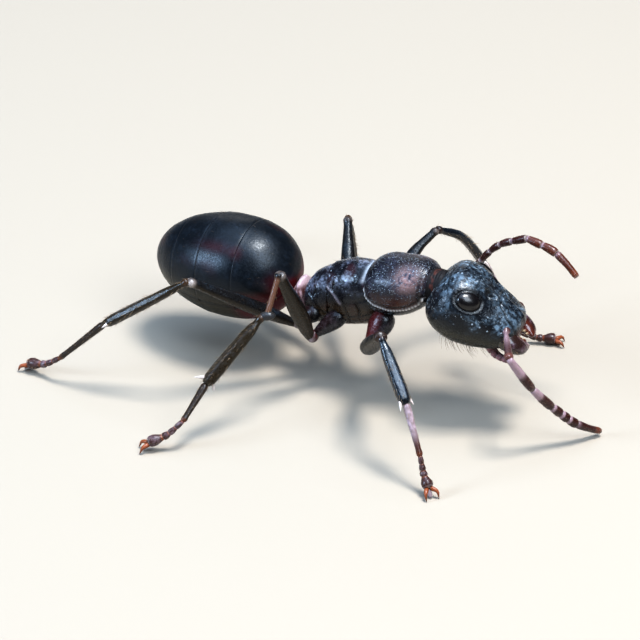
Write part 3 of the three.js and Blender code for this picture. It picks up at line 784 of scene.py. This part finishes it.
# ---- middle of the trunk -------------------------------------------------------------
# Behind the pronotum the trunk is a box of plates fused along sutures: the back plate,
# the side plates, and the sloping last segment, with a breathing slit on each side.
MESOTHORAX = [
    (-0.16, 2.88, 0.62, 0.92),
    (0.35, 3.00, 0.74, 1.04),
    (0.80, 3.10, 0.76, 1.02),
    (1.22, 3.16, 0.70, 0.92),
    (1.50, 3.12, 0.60, 0.72),
]
PROPODEUM = [
    (-1.02, 2.48, 0.34, 0.42),
    (-0.90, 2.50, 0.50, 0.66),
    (-0.60, 2.62, 0.62, 0.86),
    (-0.10, 2.84, 0.68, 0.96),
]
SIDE_SUTURES = [
    [(0.42, 3.0), (0.81, 3.08), (1.2, 3.25), (1.5, 3.42)],
    [(-0.05, 3.34), (0.2, 3.22), (0.47, 3.0), (0.62, 2.7), (0.66, 2.3)],
    [(-0.1, 2.62), (0.3, 2.55), (0.66, 2.5), (1.1, 2.62), (1.45, 2.8)],
    [(0.95, 3.1), (1.05, 2.85), (1.0, 2.55)],
]
PALE_SUTURES = [SIDE_SUTURES[1][:3]]
# A painted highlight along the front rim of the back plate, just behind the pronotum.
RIM_HIGHLIGHT = [(1.08, 3.8), (1.1, 4.3)]
REAR_SUTURES = [
    [(-0.95, 2.5), (-0.6, 2.42), (-0.1, 2.4)],
    [(-0.85, 2.95), (-0.55, 2.78), (-0.3, 2.45)],
]

trunk_chitin = cuticle("trunk_chitin", (0.006, 0.006, 0.010), (0.040, 0.020, 0.006),
                       (0.12, 0.030, 0.034), (0.16, 0.18, 0.24), rough=0.22, grain=0.07,
                       relief=0.007, glint_share=0.2, glint_gap=0.1, light=(0.72, 0.80, 0.90))


def plated(rings, sutures, pale_sutures, spiracle):
    """A trunk shell with its sutures cut in, and the marks that go with them: painted shade in the
    sutures and the slit, a painted highlight on the front rim, and painted sheen on top.
    """
    side_wall = ramp(np.abs(rings[..., 1]), 0.15, 0.35)
    cut = np.max([near_line(rings, line, 0.03, (0, 2)) for line in sutures], axis=0) * side_wall
    light = 0 * side_wall
    for line in pale_sutures:
        light = near_line(rings + (0.05, 0, 0.05), line, 0.045, (0, 2)) * side_wall
    away = np.hypot((rings[..., 0] - spiracle[0]) / 0.05, (rings[..., 2] - spiracle[1]) / 0.1)
    slit = bump(away, 0, 1) * side_wall
    rim = bump(away, 1.9, 0.5) * side_wall
    swell = 0.02 * unevenness(rings, 0.45, 2.2) + 0.006 * unevenness(rings, 0.12, 9.4)
    lift = -0.05 * cut + 0.035 * light - 0.06 * slit + 0.03 * rim + swell
    height = rings[..., 2] - rings[..., 2].mean(axis=1, keepdims=True)
    return skin(
        swollen(rings, lift), hair_runs=-1, under=ramp(-height, -0.12, 0.35),
        pale=np.clip(0.2 * light + 0.4 * near_line(rings, RIM_HIGHLIGHT, 0.06, (0, 2)), 0, 1),
        dark=np.clip(0.6 * cut * (1 - light) + slit, 0, 1),
        warm=np.clip(0.2 * ramp(unevenness(rings, 0.5, 6.6), 0.05, 0.5) + 0.5 * light, 0, 1),
        bloom=ramp(height, 0.1, 0.6),
        hair=ramp(height, 0.0, 0.5), long=ramp(height, 0.5, 0.8),
    )


TRUNK_SIDES = 132
# The sections of each plate, its count of rings, its sutures and its breathing slit.
TRUNK_PLATES = {
    "mesothorax": (MESOTHORAX, 90, SIDE_SUTURES, PALE_SUTURES, (0.12, 3.42)),
    "propodeum": (PROPODEUM, 70, REAR_SUTURES, [], (-0.5, 3.0)),
}
for name, (sections, count, sutures, pale_sutures, spiracle) in TRUNK_PLATES.items():
    rings = section_rings(sections, count, TRUNK_SIDES)
    plate = plated(rings, sutures, pale_sutures, spiracle)
    add_piece(f"{name}_shell", [plate], [trunk_chitin], "black_shell", name)

# ---- petiole -------------------------------------------------------------------------
# The waist is one upright scale of red-brown chitin, with a short stalk to the trunk in
# front and a narrower, redder one to the gaster behind.
PETIOLE_X, PETIOLE_FOOT, PETIOLE_TOP = -1.24, 1.95, 3.0
SCALE_GRID, STALK_GRID = (40, 64), (12, 40)
SCALE_WIDTHS = [(0, 0.30, 0.25), (0.25, 0.36, 0.25), (0.6, 0.40, 0.20), (0.85, 0.36, 0.14),
                (1, 0.18, 0.07)]
petiole_chitin = cuticle("petiole_chitin", (0.045, 0.013, 0.012), (0.04, 0.014, 0.009),
                         (0.17, 0.040, 0.032), (0.60, 0.42, 0.46), rough=0.25,
                         light=(0.80, 0.62, 0.66))
scale_rings = tube(
    [(PETIOLE_X, 0, PETIOLE_FOOT), (PETIOLE_X + 0.02, 0, 2.5), (PETIOLE_X, 0, PETIOLE_TOP)],
    [(t, thick, wide) for t, wide, thick in SCALE_WIDTHS], *SCALE_GRID, (0, 1, 0),
)
scale_rings = swollen(scale_rings, 0.012 * unevenness(scale_rings, 0.3, 4.4))
front_stalk = tube([(-1.3, 0, 2.35), (-0.95, 0, 2.4)], [(0, 0.2, 0.22), (1, 0.24, 0.26)],
                   *STALK_GRID)
rear_stalk = tube([(-1.2, 0, 2.4), (-1.55, 0, 2.5)],
                  [(0, 0.2, 0.2), (0.5, 0.16, 0.16), (1, 0.2, 0.2)], *STALK_GRID)
scale_height = scale_rings[..., 2]
# The top of the scale carries a painted pink highlight, and the whole scale carries painted sheen.
petiole = [skin(scale_rings, warm=0.4, bloom=1, pale=0.5 * ramp(scale_height, 2.72, 2.92),
                hair=ramp(scale_height, 2.6, 2.9)),
           skin(front_stalk, warm=0.5), skin(rear_stalk, warm=0.9, pale=0.25)]
add_piece("petiole_scale", petiole, [petiole_chitin], "brown_shell", "petiole")

# ---- gaster --------------------------------------------------------------------------
# Five glossy hoops slide into one another like a telescope. All but the last have a thin
# rolled rear edge over the next, and a seam down each side where the belly plate begins.
GASTER_FRONT, GASTER_TAIL, GASTER_HEIGHT = -1.46, -6.08, 2.74
GASTER_LONG = GASTER_FRONT - GASTER_TAIL
GASTER_HALF = np.array([1.56, 1.53])
GASTER_DROOP = math.radians(4)
GASTER_SPLITS = (0, 0.3, 0.56, 0.77, 0.91, 1)
GASTER_AT = (
    Matrix.Translation((GASTER_FRONT - GASTER_LONG / 2, 0, GASTER_HEIGHT))
    @ Matrix.Rotation(-GASTER_DROOP, 4, "Y")
    @ Matrix.Translation((GASTER_LONG / 2, 0, 0))
)
GASTER_RINGS, GASTER_SIDES = 46, 150
# Shares of the gaster's length: its two ends, and how far each hoop runs under the last one.
GASTER_ENDS = (0.001, 0.997)
TUCK = 0.035
LIP_DEPTH = 0.05
gaster_chitin = cuticle("gaster_chitin", (0.002, 0.004, 0.007), (0.026, 0.019, 0.007),
                        (0.075, 0.002, 0.005), (0.035, 0.05, 0.075), rough=0.37, relief=0.0015,
                        polish=0.06)


def gaster_girth(s):
    """The share of its full girth that the gaster has at s, from 0 in front to 1 behind."""
    fullest, blunt, pointed = 0.46, 2.5, 1.75
    share = np.where(s < fullest, (fullest - s) / fullest, (s - fullest) / (1 - fullest))
    power = np.where(s < fullest, blunt, pointed)
    return np.maximum(1 - np.clip(share, 0, 1) ** power, 0.0) ** (1 / 2.1)


for index in range(5):
    start, end = GASTER_SPLITS[index], GASTER_SPLITS[index + 1]
    tucked = start - TUCK if index else GASTER_ENDS[0]
    spots = np.linspace(tucked, min(end, GASTER_ENDS[1]), GASTER_RINGS)
    girth = np.maximum(gaster_girth(np.clip(spots, *GASTER_ENDS)), 0.03)
    beneath = 0.04 * (1 - ramp(spots, tucked, start + 0.02)) if index else 0 * spots
    rolled = 0.006 * ramp(spots, end - 0.03, end - 0.006) if index < 4 else 0 * spots
    drop = rolled - beneath
    rings = power_ring(-spots * GASTER_LONG, 0, GASTER_HALF[0] * girth + drop,
                       GASTER_HALF[1] * girth + drop, GASTER_SIDES, 2)
    if index < 4:
        inner = GASTER_HALF * girth[-1] - LIP_DEPTH
        lip = power_ring(-(end - 0.004) * GASTER_LONG, 0, *inner, GASTER_SIDES, 2)
        rings = np.concatenate([rings, lip])
        spots = np.append(spots, end)
    rings = rings[::-1]
    along = spots[::-1][:, None] * np.ones(GASTER_SIDES)
    height = rings[..., 2]
    seam = -0.42 - 0.35 * (along - 0.46) ** 2
    level = height / np.maximum(GASTER_HALF[1] * gaster_girth(along), 0.2)
    belly_seam = bump(level, seam, 0.035)
    striae = np.sin(along * 330 + 2.5 * unevenness(rings, 0.5, 8.8))
    lift = 0.012 * unevenness(rings, 0.6, index * 3.3) + 0.0005 * striae - 0.035 * belly_seam
    rings = swollen(rings, lift)
    edge = ramp(along, end - 0.02, end - 0.004) * (index < 4)
    front_red = np.maximum(ramp(0.36 - along, 0, 0.14) * ramp(-level, -0.05, 0.3),
                           ramp(0.13 - along, 0, 0.1) * ramp(-level, -0.75, 0.1))
    streak = bump(level, 0.72, 0.08) * bump(along, 0.44, 0.13)
    rust = 0.22 * ramp(unevenness(rings, 0.9, 1.7), 0.25, 0.6) * ramp(level, 0, 0.6) + 0.3 * streak
    # Painted shade darkens the belly seam and each hoop where it runs under the one before; the top
    # carries a faint painted sheen.
    hoop = skin(
        rings, at=GASTER_AT, hair_runs=-1, under=ramp(-level, -0.15, 0.45),
        warm=np.clip(front_red + rust, 0, 1), pale=0.01 * edge, bloom=0.2 * ramp(level, -0.2, 0.4),
        dark=np.clip(0.7 * belly_seam + ramp(start - along, -0.004, 0.01) * (index > 0), 0, 1),
        hair=0.7 * (along > start), long=np.clip(edge + 0.2 * ramp(-level, 0.2, 0.6), 0, 1),
    )
    add_piece(f"gaster_hoop_{index + 1}", [hoop], [gaster_chitin], "black_shell",
              f"gaster_segment_{index + 1}")

# ---- legs ----------------------------------------------------------------------------
# Six legs, each of a cone-shaped coxa with a small trochanter, a spindle femur, a bristly
# tibia with two spurs, a long tarsal joint, four short ones, a pad and two hooked claws.
# In each leg, the streak and knee values set the strength of painted highlights on its shin and knee
# end.
LEGS = {
    "right_fore": {
        "hip": (1.85, -0.42, 2.95), "trochanter": (1.56, -1.2, 1.95), "knee": (3.12, -3.1, 3.79),
        "ankle": (4.41, -3.9, 2.36), "instep": (5.13, -4.35, 1.08), "foot": (5.64, -4.67, 0.12),
        "stout": 1.2, "shin_width": 0.2, "streak": 0.6, "knee_highlight": 0.0,
    },
    "right_mid": {
        "hip": (0.4, -0.4, 2.5), "trochanter": (-0.35, -1.12, 1.77), "knee": (-0.66, -2.4, 4.44),
        "shin": (-0.63, -3.15, 3.43), "ankle": (-1.65, -4.9, 1.74),
        "instep": (-1.83, -5.9, 0.96), "foot": (-2.82, -6.56, 0.12),
        "stout": 1.15, "shin_width": 0.22, "stalk": 0.09, "spur": (-0.82, -0.08, 0.57),
    },
    "right_hind": {
        "hip": (-0.45, -0.36, 2.35), "trochanter": (-1.0, -0.9, 1.95),
        "knee": (-3.19, -3.3, 3.92), "ankle": (-5.58, -4.1, 2.21),
        "instep": (-6.94, -4.4, 0.81), "foot": (-8.27, -4.3, 0.12),
        "stout": 1.0, "shin_width": 0.19, "knee_highlight": 0.5,
    },
    "left_fore": {
        "hip": (1.85, 0.42, 2.95), "trochanter": (1.4, 1.1, 2.15), "thigh": (1.19, 2.1, 3.29),
        "knee": (1.55, 3.0, 3.92), "shin": (1.98, 3.75, 3.42), "ankle": (2.38, 4.4, 2.37),
        "instep": (3.69, 4.34, 0.35), "foot": (4.79, 4.87, 0.12),
        "stout": 0.85, "shin_width": 0.17,
    },
    "left_mid": {
        "hip": (0.4, 0.4, 2.5), "trochanter": (-0.35, 1.12, 1.77), "knee": (-1.4, 2.9, 3.54),
        "ankle": (-2.14, 4.5, 0.94), "instep": (-1.9, 5.5, 0.25), "foot": (-1.0, 6.3, 0.12),
        "stout": 0.85, "shin_width": 0.17,
    },
    "left_hind": {
        "hip": (-0.45, 0.36, 2.35), "trochanter": (-1.05, 0.94, 1.75),
        "knee": (-4.65, 2.42, 2.11), "ankle": (-6.31, 4.9, 0.95),
        "instep": (-7.35, 5.15, 0.25), "foot": (-8.3, 4.3, 0.12),
        "stout": 0.92, "shin_width": 0.19,
    },
}
FEMUR_WIDTHS = [(0, 0.11, 0.11), (0.06, 0.15, 0.14), (0.3, 0.255, 0.21), (0.55, 0.25, 0.2),
                (0.82, 0.17, 0.15), (0.93, 0.15, 0.14), (0.975, 0.165, 0.15), (1, 0.12, 0.11)]
CONE_WIDTHS = [(0, 0.1, 0.1), (0.12, 0.25, 0.24), (0.4, 0.31, 0.27), (0.8, 0.2, 0.18),
               (1, 0.13, 0.12)]
BASITARSUS_WIDTHS = [(0, 0.075, 0.075), (0.06, 0.115, 0.11), (0.4, 0.105, 0.095),
                     (0.85, 0.085, 0.08), (0.96, 0.095, 0.085), (1, 0.07, 0.065)]
TOE_JOINTS = [(1, 0.1), (0.85, 0.1), (0.75, 0.12), (1.5, 0.12)]
TOE_REACH = 0.84
SHIN_RIDGES = 5
# Steps along and sides around each part of a leg.
GRIDS = {"coxa": (36, 40), "trochanter": (20, 32), "femur": (90, 44), "stalk": (24, 24),
         "knob": (16, 24), "tibia": (90, 40), "tarsus": (44, 28), "pad": (8, 16)}
# The height above the floor from which the feet are hairy.
HAIR_RISE = (0.1, 0.16)

leg_chitin = cuticle("leg_chitin", (0.006, 0.005, 0.005), (0.026, 0.015, 0.004),
                     (0.14, 0.068, 0.04), (0.016, 0.022, 0.03), rough=0.3, polish=0.15,
                     light=(0.66, 0.58, 0.54))
shin_chitin = cuticle("shin_chitin", (0.004, 0.006, 0.010), (0.016, 0.009, 0.006),
                      (0.10, 0.045, 0.025), (0.02, 0.03, 0.04), rough=0.24, polish=0.5,
                      light=(0.30, 0.38, 0.50))
foot_chitin = cuticle("foot_chitin", (0.045, 0.014, 0.009), (0.022, 0.012, 0.005),
                      (0.27, 0.075, 0.025), (0.42, 0.31, 0.36), rough=0.34,
                      light=(0.52, 0.42, 0.46))
coxa_chitin = cuticle("coxa_chitin", (0.007, 0.006, 0.006), (0.02, 0.009, 0.006),
                      (0.10, 0.008, 0.007), (0.30, 0.23, 0.28), rough=0.24)


def way_between(leg, *joints):
    """The places of those of the joints that the leg has."""
    return [np.array(leg[joint]) for joint in joints if joint in leg]


def shin_widths(wide):
    """The widths of a tibia that is twice wide across at its fullest."""
    return [(0, 0.1, 0.1), (0.035, 0.125, 0.12), (0.09, 0.11, 0.1), (0.22, wide * 0.82, wide * 0.7),
            (0.6, wide, wide * 0.82), (0.93, wide * 0.96, wide * 0.8), (1, wide * 0.6, wide * 0.5)]


for name, leg in LEGS.items():
    hip, trochanter = np.array(leg["hip"]), np.array(leg["trochanter"])
    near = hip * 0.16 + trochanter * 0.84
    fore = name.endswith("fore")
    girth = 1.25 if fore else 1.0
    cone_widths = [(t, wide * girth, deep * girth) for t, wide, deep in CONE_WIDTHS]
    cone = tube([hip, near], cone_widths, *GRIDS["coxa"])
    cone_hair = ramp(shares(cone), 0.3, 0.5)
    ball = tube([hip * 0.2 + trochanter * 0.8, trochanter + (trochanter - hip) * 0.08],
                [(0, 0.1, 0.1), (0.35, 0.185, 0.175), (0.75, 0.18, 0.17), (1, 0.1, 0.1)],
                *GRIDS["trochanter"])
    rear_face = ramp(-outward(cone)[..., 0], -0.5, 0.2)
    # Each coxa carries a little painted sheen, and its trochanter more painted sheen with a pale
    # painted highlight.
    coxa = [skin(cone, warm=(0.9 if fore else 0.1) * rear_face, bloom=0.15, hair=cone_hair),
            skin(ball, warm=0.4, bloom=0.6, pale=0.25 * ramp(shares(ball), 0.2, 0.8))]
    add_piece(f"{name}_coxa", coxa, [coxa_chitin], "leg", f"coxa_{name}")

    stout = leg["stout"]
    widths = [(t, wide * stout, deep * stout) for t, wide, deep in FEMUR_WIDTHS]
    places = way_between(leg, "trochanter", "thigh", "knee")
    spindle = tube(places, widths, *GRIDS["femur"], power=1.9)
    around = angles(GRIDS["femur"][1])
    keel_fold = bump(np.sin(around), -0.75, 0.18)
    share = shares(spindle)
    lift = -0.02 * keel_fold * ramp(share, 0.1, 0.3) + 0.008 * unevenness(spindle, 0.3, 1.2)
    spindle = swollen(spindle, lift)
    knee_end = ramp(share, 0.93, 0.98)
    femur_down = -outward(spindle)[..., 2]
    # The femur's top carries painted sheen, and its knee end a painted highlight.
    femur = skin(
        spindle, under=ramp(femur_down, -0.5, 0.3), bloom=ramp(-femur_down, 0.1, 0.7),
        warm=0.2 * knee_end, hair=ramp(share, 0.1, 0.3),
        pale=leg.get("knee_highlight", 0.15) * knee_end * np.abs(np.cos(around)),
    )
    add_piece(f"{name}_femur", [femur], [leg_chitin], "leg", f"femur_{name}")

    wide, olive = leg["shin_width"], 0.0 if fore else 0.8
    shin_places = way_between(leg, "knee", "shin", "ankle")
    shapes = []
    if "stalk" in leg:
        thin = leg["stalk"]
        stalk = tube(shin_places[:2], [(0, 0.1, 0.1), (0.04, 0.13, 0.12), (0.12, thin, thin),
                                       (1, thin, thin)], *GRIDS["stalk"])
        shapes.append(skin(stalk, warm=0.9 * ramp(shares(stalk), 0.05, 0.15), hair=0.3))
        bend = shin_places[1]
        knob = tube([bend + (0.22, 0.1, 0.02), bend, bend + (-0.16, -0.12, -0.04)],
                    [(0, 0.04, 0.04), (0.25, 0.13, 0.12), (0.75, 0.14, 0.13), (1, 0.08, 0.08)],
                    *GRIDS["knob"])
        # The knob at the bend carries painted sheen.
        shapes.append(skin(knob, bloom=1, pale=0.04))
        shin_places = [bend + (-0.1, -0.08, 0), shin_places[2]]
    shin = tube(shin_places, shin_widths(wide), *GRIDS["tibia"])
    share = shares(shin)
    ridges = np.cos(SHIN_RIDGES * angles(GRIDS["tibia"][1]))
    lumps = (0.003 if fore else 0.01) * unevenness(shin, 0.18, 6.1)
    shin = swollen(shin, 0.008 * ridges * ramp(share, 0.15, 0.4) + lumps)
    shin_down = -outward(shin)[..., 2]
    # A painted highlight streak runs down the top of each shin, strongest on the fore legs, and the
    # shins' tops carry painted sheen, mostly on the fore legs.
    streak = leg.get("streak", 0.1) * ramp(-shin_down, 0.62, 0.95) * ramp(share, 0.05, 0.8)
    shapes.append(skin(
        shin, finish=int(fore), under=np.maximum(ramp(shin_down, -0.2, 0.4), olive),
        bloom=ramp(-shin_down, 0, 0.6) * (1 - olive), pale=streak,
        warm=0.3 * ramp(0.07 - share, 0, 0.05), hair=0.6 + 0.4 * ramp(share, 0.1, 0.4),
    ))
    path, way = smooth_path(shin_places, 100)
    spur_side = np.array(leg.get("spur", np.cross(way[-1], (0, 0, 1))))
    spur_side = spur_side / np.linalg.norm(spur_side)
    spread = 1.1 if "spur" in leg else 0.35
    for hand, long in ((1, 0.3), (-1, 0.2)):
        root = path[-6] + spur_side * wide * 0.75 * hand
        reach = way[-1] + spur_side * spread * hand
        reach = reach / np.linalg.norm(reach)
        shapes.append(skin(spike(root, root + reach * long, 0.055), warm=1, pale=0.95))
    add_piece(f"{name}_tibia", shapes, [leg_chitin, shin_chitin], "leg", f"tibia_{name}")

    places = way_between(leg, "ankle", "instep")
    long_joint = tube(places, BASITARSUS_WIDTHS, *GRIDS["tarsus"])
    share = shares(long_joint)
    # The fore tarsus carries painted sheen and a painted lilac highlight on its upper part; the other
    # tarsi take the darker underside colour all over.
    tarsus = skin(
        long_joint, under=0 if fore else 0.9, warm=0.1 * fore + 0.4 * ramp(share, 0.9, 1),
        bloom=fore * ramp(0.9 - share, 0, 0.25), pale=0.45 * fore * ramp(0.85 - share, 0, 0.3),
        hair=ramp(long_joint[..., 2], *HAIR_RISE),
    )
    add_piece(f"{name}_tarsus", [tarsus], [foot_chitin], "tarsus", f"tarsus_{name}")

    instep, foot = np.array(leg["instep"]), np.array(leg["foot"])
    heel = instep + (foot - instep) * TOE_REACH
    sag = (instep + heel) / 2 - (0, 0, 0.12 * instep[2])
    # The toes carry painted sheen, less on the fore legs.
    toes = jointed((instep, sag, heel + (0, 0, 0.04)), TOE_JOINTS, lambda t: 0.075 + 0.09 * t**2,
                   waist=0.88, sheen_share=0.15 if fore else 0.4)
    for toe in toes:
        toe["marks"]["hair"] = toe["marks"]["hair"] * ramp(toe["points"][:, 2] / MM, *HAIR_RISE)
    ahead = (foot - instep) * (1, 1, 0)
    ahead = ahead / np.linalg.norm(ahead)
    sideways = np.cross((0, 0, 1), ahead)
    for hand in (1, -1):
        root = heel + sideways * 0.055 * hand
        tip = heel + ahead * 0.27 + sideways * 0.2 * hand
        tip[2] = 0.02
        claw = spike(root, tip, 0.075, ahead * 0.05 + sideways * 0.06 * hand + (0, 0, 0.07))
        toes.append(skin(claw, warm=1, dark=0.6 * ramp(shares(claw), 0.6, 1)))
    sole_tip = heel + ahead * 0.16
    sole_tip[2] = 0.045
    pad = tube([heel, sole_tip], [(0, 0.05, 0.04), (0.7, 0.07, 0.035), (1, 0.03, 0.02)],
               *GRIDS["pad"])
    toes.append(skin(pad, pale=0.5))
    add_piece(f"{name}_toes", toes, [foot_chitin], "tarsus", f"foot_{name}")

# ---- hairs ---------------------------------------------------------------------------
# Stiff tapered bristles are rooted all over the ant, each one a bent thorn of chitin:
# silvery down lying on the shell, golden bristles on the back and legs, and a thin beard.
STRAND_SIDES, STRAND_RINGS = 3, 4
TIP_SHARE = 0.15
# The width of a strand's place on its skin's unwrap.
PATCH = 0.003
# The least and the greatest share of its coat's length that a strand has.
SIZES = (0.6, 1.15)


def bristle_nodes():
    """A tree that plants bent tapered strands on a skin, as thick as its mark tells."""
    tree = bpy.data.node_groups.new("bristles", "GeometryNodeTree")
    inputs = {
        "Geometry": "Geometry", "Mark": "String", "Density": "Float", "Length": "Float",
        "Thickness": "Float", "Lean": "Float", "Bend": "Float", "Scatter": "Float",
        "Seed": "Int", "Tile": "Float", "Tiles": "Float", "Material": "Material",
    }
    for title, kind in inputs.items():
        tree.interface.new_socket(title, in_out="INPUT", socket_type=f"NodeSocket{kind}")
    tree.interface.new_socket("Geometry", in_out="OUTPUT", socket_type="NodeSocketGeometry")
    given = add_node(tree, "NodeGroupInput").outputs

    def first_out(kind, feeds=None, **settings):
        return add_node(tree, kind, feeds, **settings).outputs[0]

    def maths(operation, *values):
        return first_out("ShaderNodeMath", dict(enumerate(values)), operation=operation)

    def vectors(operation, *values):
        return first_out("ShaderNodeVectorMath", dict(enumerate(values)), operation=operation)

    def scaled(vector, amount):
        return first_out("ShaderNodeVectorMath", {0: vector, 3: amount}, operation="SCALE")

    def combined(**axes):
        return first_out("ShaderNodeCombineXYZ", axes)

    def named(title, kind):
        return first_out("GeometryNodeInputNamedAttribute", {"Name": title}, data_type=kind)

    def kept(geometry, title, value, kind, domain):
        feeds = {"Geometry": geometry, "Name": title, "Value": value}
        return first_out("GeometryNodeStoreNamedAttribute", feeds, data_type=kind, domain=domain)

    line = first_out("GeometryNodeCurvePrimitiveLine", {"End": (0, 0, 1)})
    line = first_out("GeometryNodeResampleCurve", {"Curve": line, "Count": STRAND_RINGS})
    along = add_node(tree, "GeometryNodeSplineParameter").outputs["Factor"]
    sway = maths("MULTIPLY", given["Bend"], maths("MULTIPLY", along, along))
    line = first_out("GeometryNodeSetPosition", {"Geometry": line, "Offset": combined(X=sway)})
    feeds = {"Resolution": STRAND_SIDES, "Radius": 1.0}
    profile = first_out("GeometryNodeCurvePrimitiveCircle", feeds)
    stoutness = maths("DIVIDE", given["Thickness"], given["Length"])
    taper = maths("MULTIPLY_ADD", along, TIP_SHARE - 1, 1.0)
    feeds = {"Curve": line, "Profile Curve": profile, "Scale": maths("MULTIPLY", stoutness, taper),
             "Fill Caps": True}
    strand = first_out("GeometryNodeCurveToMesh", feeds)
    spot = first_out("GeometryNodeInputPosition")
    parts = add_node(tree, "ShaderNodeSeparateXYZ", {0: spot}).outputs
    height = maths("SUBTRACT", maths("MULTIPLY", parts["Z"], 2.0), 1.0)
    patch = scaled(combined(X=height, Y=maths("DIVIDE", parts["Y"], stoutness)), PATCH / 2)
    strand = kept(strand, "patch", patch, "FLOAT_VECTOR", "POINT")

    density = maths("MULTIPLY", given["Density"], named(given["Mark"], "FLOAT"))
    feeds = {"Mesh": given["Geometry"], "Density": density, "Seed": given["Seed"]}
    roots = add_node(tree, "GeometryNodeDistributePointsOnFaces", feeds).outputs
    lie = named("lie", "FLOAT_VECTOR")
    upright = scaled(roots["Normal"], maths("COSINE", given["Lean"]))
    leaning = scaled(lie, maths("SINE", given["Lean"]))
    feeds = {0: (-1, -1, -1), 1: (1, 1, 1), "Seed": given["Seed"]}
    chance = first_out("FunctionNodeRandomValue", feeds, data_type="FLOAT_VECTOR")
    strayed = scaled(chance, given["Scatter"])
    way = vectors("ADD", vectors("ADD", upright, leaning), strayed)
    turn = first_out("FunctionNodeAlignRotationToVector", {"Vector": way}, axis="Z")
    feeds = {"Rotation": turn, "Vector": lie}
    turn = first_out("FunctionNodeAlignRotationToVector", feeds, axis="X", pivot_axis="Z")
    feeds = {2: SIZES[0], 3: SIZES[1], "Seed": given["Seed"]}
    size = add_node(tree, "FunctionNodeRandomValue", feeds, data_type="FLOAT").outputs[1]
    feeds = {"Points": roots["Points"], "Instance": strand, "Rotation": turn,
             "Scale": maths("MULTIPLY", size, given["Length"])}
    planted = first_out("GeometryNodeInstanceOnPoints", feeds)
    planted = first_out("GeometryNodeRealizeInstances", {"Geometry": planted})
    place = vectors("ADD", named("unwrap", "FLOAT_VECTOR"), combined(X=given["Tile"]))
    place = vectors("DIVIDE", place, combined(X=given["Tiles"], Y=1.0))
    place = vectors("ADD", place, named("patch", "FLOAT_VECTOR"))
    planted = kept(planted, "OFBake", place, "FLOAT2", "CORNER")
    feeds = {"Geometry": planted, "Material": given["Material"]}
    add_node(tree, "NodeGroupOutput", {"Geometry": first_out("GeometryNodeSetMaterial", feeds)})
    return tree


bristles = bristle_nodes()


def coat(name, material, skins, mark, density, length, thickness, lean, bend=0.2,
         scatter=0.2):
    """One coat piece of strands on several skins. Sizes are in mm, density in 1/mm2."""
    whole = bmesh.new()
    for tile, skin_name in enumerate(skins):
        values = {
            "Mark": mark, "Density": density / MM**2, "Length": length * MM,
            "Thickness": thickness * MM, "Lean": math.radians(lean), "Bend": bend,
            "Scatter": scatter, "Seed": tile, "Tile": float(tile), "Tiles": float(len(skins)),
            "Material": material,
        }
        holder = link(bpy.data.objects.new("holder", pieces[skin_name].data))
        modifier = holder.modifiers.new("bristles", "NODES")
        modifier.node_group = bristles
        for item in bristles.interface.items_tree:
            if item.in_out == "INPUT" and item.name in values:
                modifier[item.identifier] = values[item.name]
        ready = holder.evaluated_get(bpy.context.evaluated_depsgraph_get())
        strands = bpy.data.meshes.new_from_object(ready)
        whole.from_mesh(strands)
        bpy.data.objects.remove(holder)
        bpy.data.meshes.remove(strands)
    mesh = bpy.data.meshes.new(name)
    whole.to_mesh(mesh)
    whole.free()
    for extra in (*MARKS, "lie", "patch", "unwrap"):
        if extra in mesh.attributes:
            mesh.attributes.remove(mesh.attributes[extra])
    mesh.shade_smooth()
    mesh.materials.clear()
    mesh.materials.append(material)
    piece = link(bpy.data.objects.new(name, mesh))
    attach(piece, "root")


STRAND_COLOURS = {
    "silver_down": (0.34, 0.39, 0.43, 1),
    "golden_bristle": (0.30, 0.17, 0.07, 1),
    "beard_bristle": (0.10, 0.06, 0.035, 1),
    "leg_bristle": (0.34, 0.24, 0.15, 1),
}
SILVER, GOLD, DARK_GOLD, TAN = (
    new_material(name, Base_Color=colour, Roughness=0.35)[0]
    for name, colour in STRAND_COLOURS.items()
)
TRUNK_SKINS = ["mesothorax_shell", "propodeum_shell", "petiole_scale"]
GASTER_SKINS = [f"gaster_hoop_{index + 1}" for index in range(5)]
coat("head_down", SILVER, ["head_shell"], "hair", 45, 0.06, 0.005, 76)
coat("head_beard", DARK_GOLD, ["head_shell"], "long", 32, 0.36, 0.005, 25, 0.3)
coat("pronotum_down", SILVER, ["pronotum_shell"], "hair", 60, 0.05, 0.0045, 74,
     scatter=0.25)
coat("pronotum_bristles", DARK_GOLD, ["pronotum_shell"], "long", 1.0, 0.22, 0.006,
     30)
coat("trunk_down", SILVER, TRUNK_SKINS, "hair", 35, 0.06, 0.0045, 74, scatter=0.25)
coat("trunk_bristles", DARK_GOLD, TRUNK_SKINS, "long", 1.0, 0.22, 0.006, 30)
coat("gaster_down", DARK_GOLD, GASTER_SKINS, "hair", 7, 0.1, 0.004, 80,
     scatter=0.15)
coat("gaster_fringe", DARK_GOLD, GASTER_SKINS, "long", 5, 0.2, 0.005, 66,
     scatter=0.15)
coat("jaw_hairs", GOLD, ["jaw_right", "jaw_left"], "hair", 8, 0.14, 0.006, 50)
for name in SIDES:
    skins = [f"scape_{name}_shaft", f"funiculus_{name}_inner", f"funiculus_{name}_outer"]
    coat(f"antenna_{name}_down", TAN, skins, "hair", 110, 0.05, 0.004, 58)
for name in LEGS:
    skins = [f"{name}_coxa", f"{name}_femur"]
    coat(f"{name}_thigh_down", DARK_GOLD, skins, "hair", 14, 0.08, 0.0045, 66)
    skins = [f"{name}_tibia"]
    coat(f"{name}_shin_bristles", TAN, skins, "hair", 45, 0.14, 0.005, 50, 0.15)
    skins = [f"{name}_tarsus", f"{name}_toes"]
    coat(f"{name}_foot_down", TAN, skins, "hair", 90, 0.07, 0.004, 55)
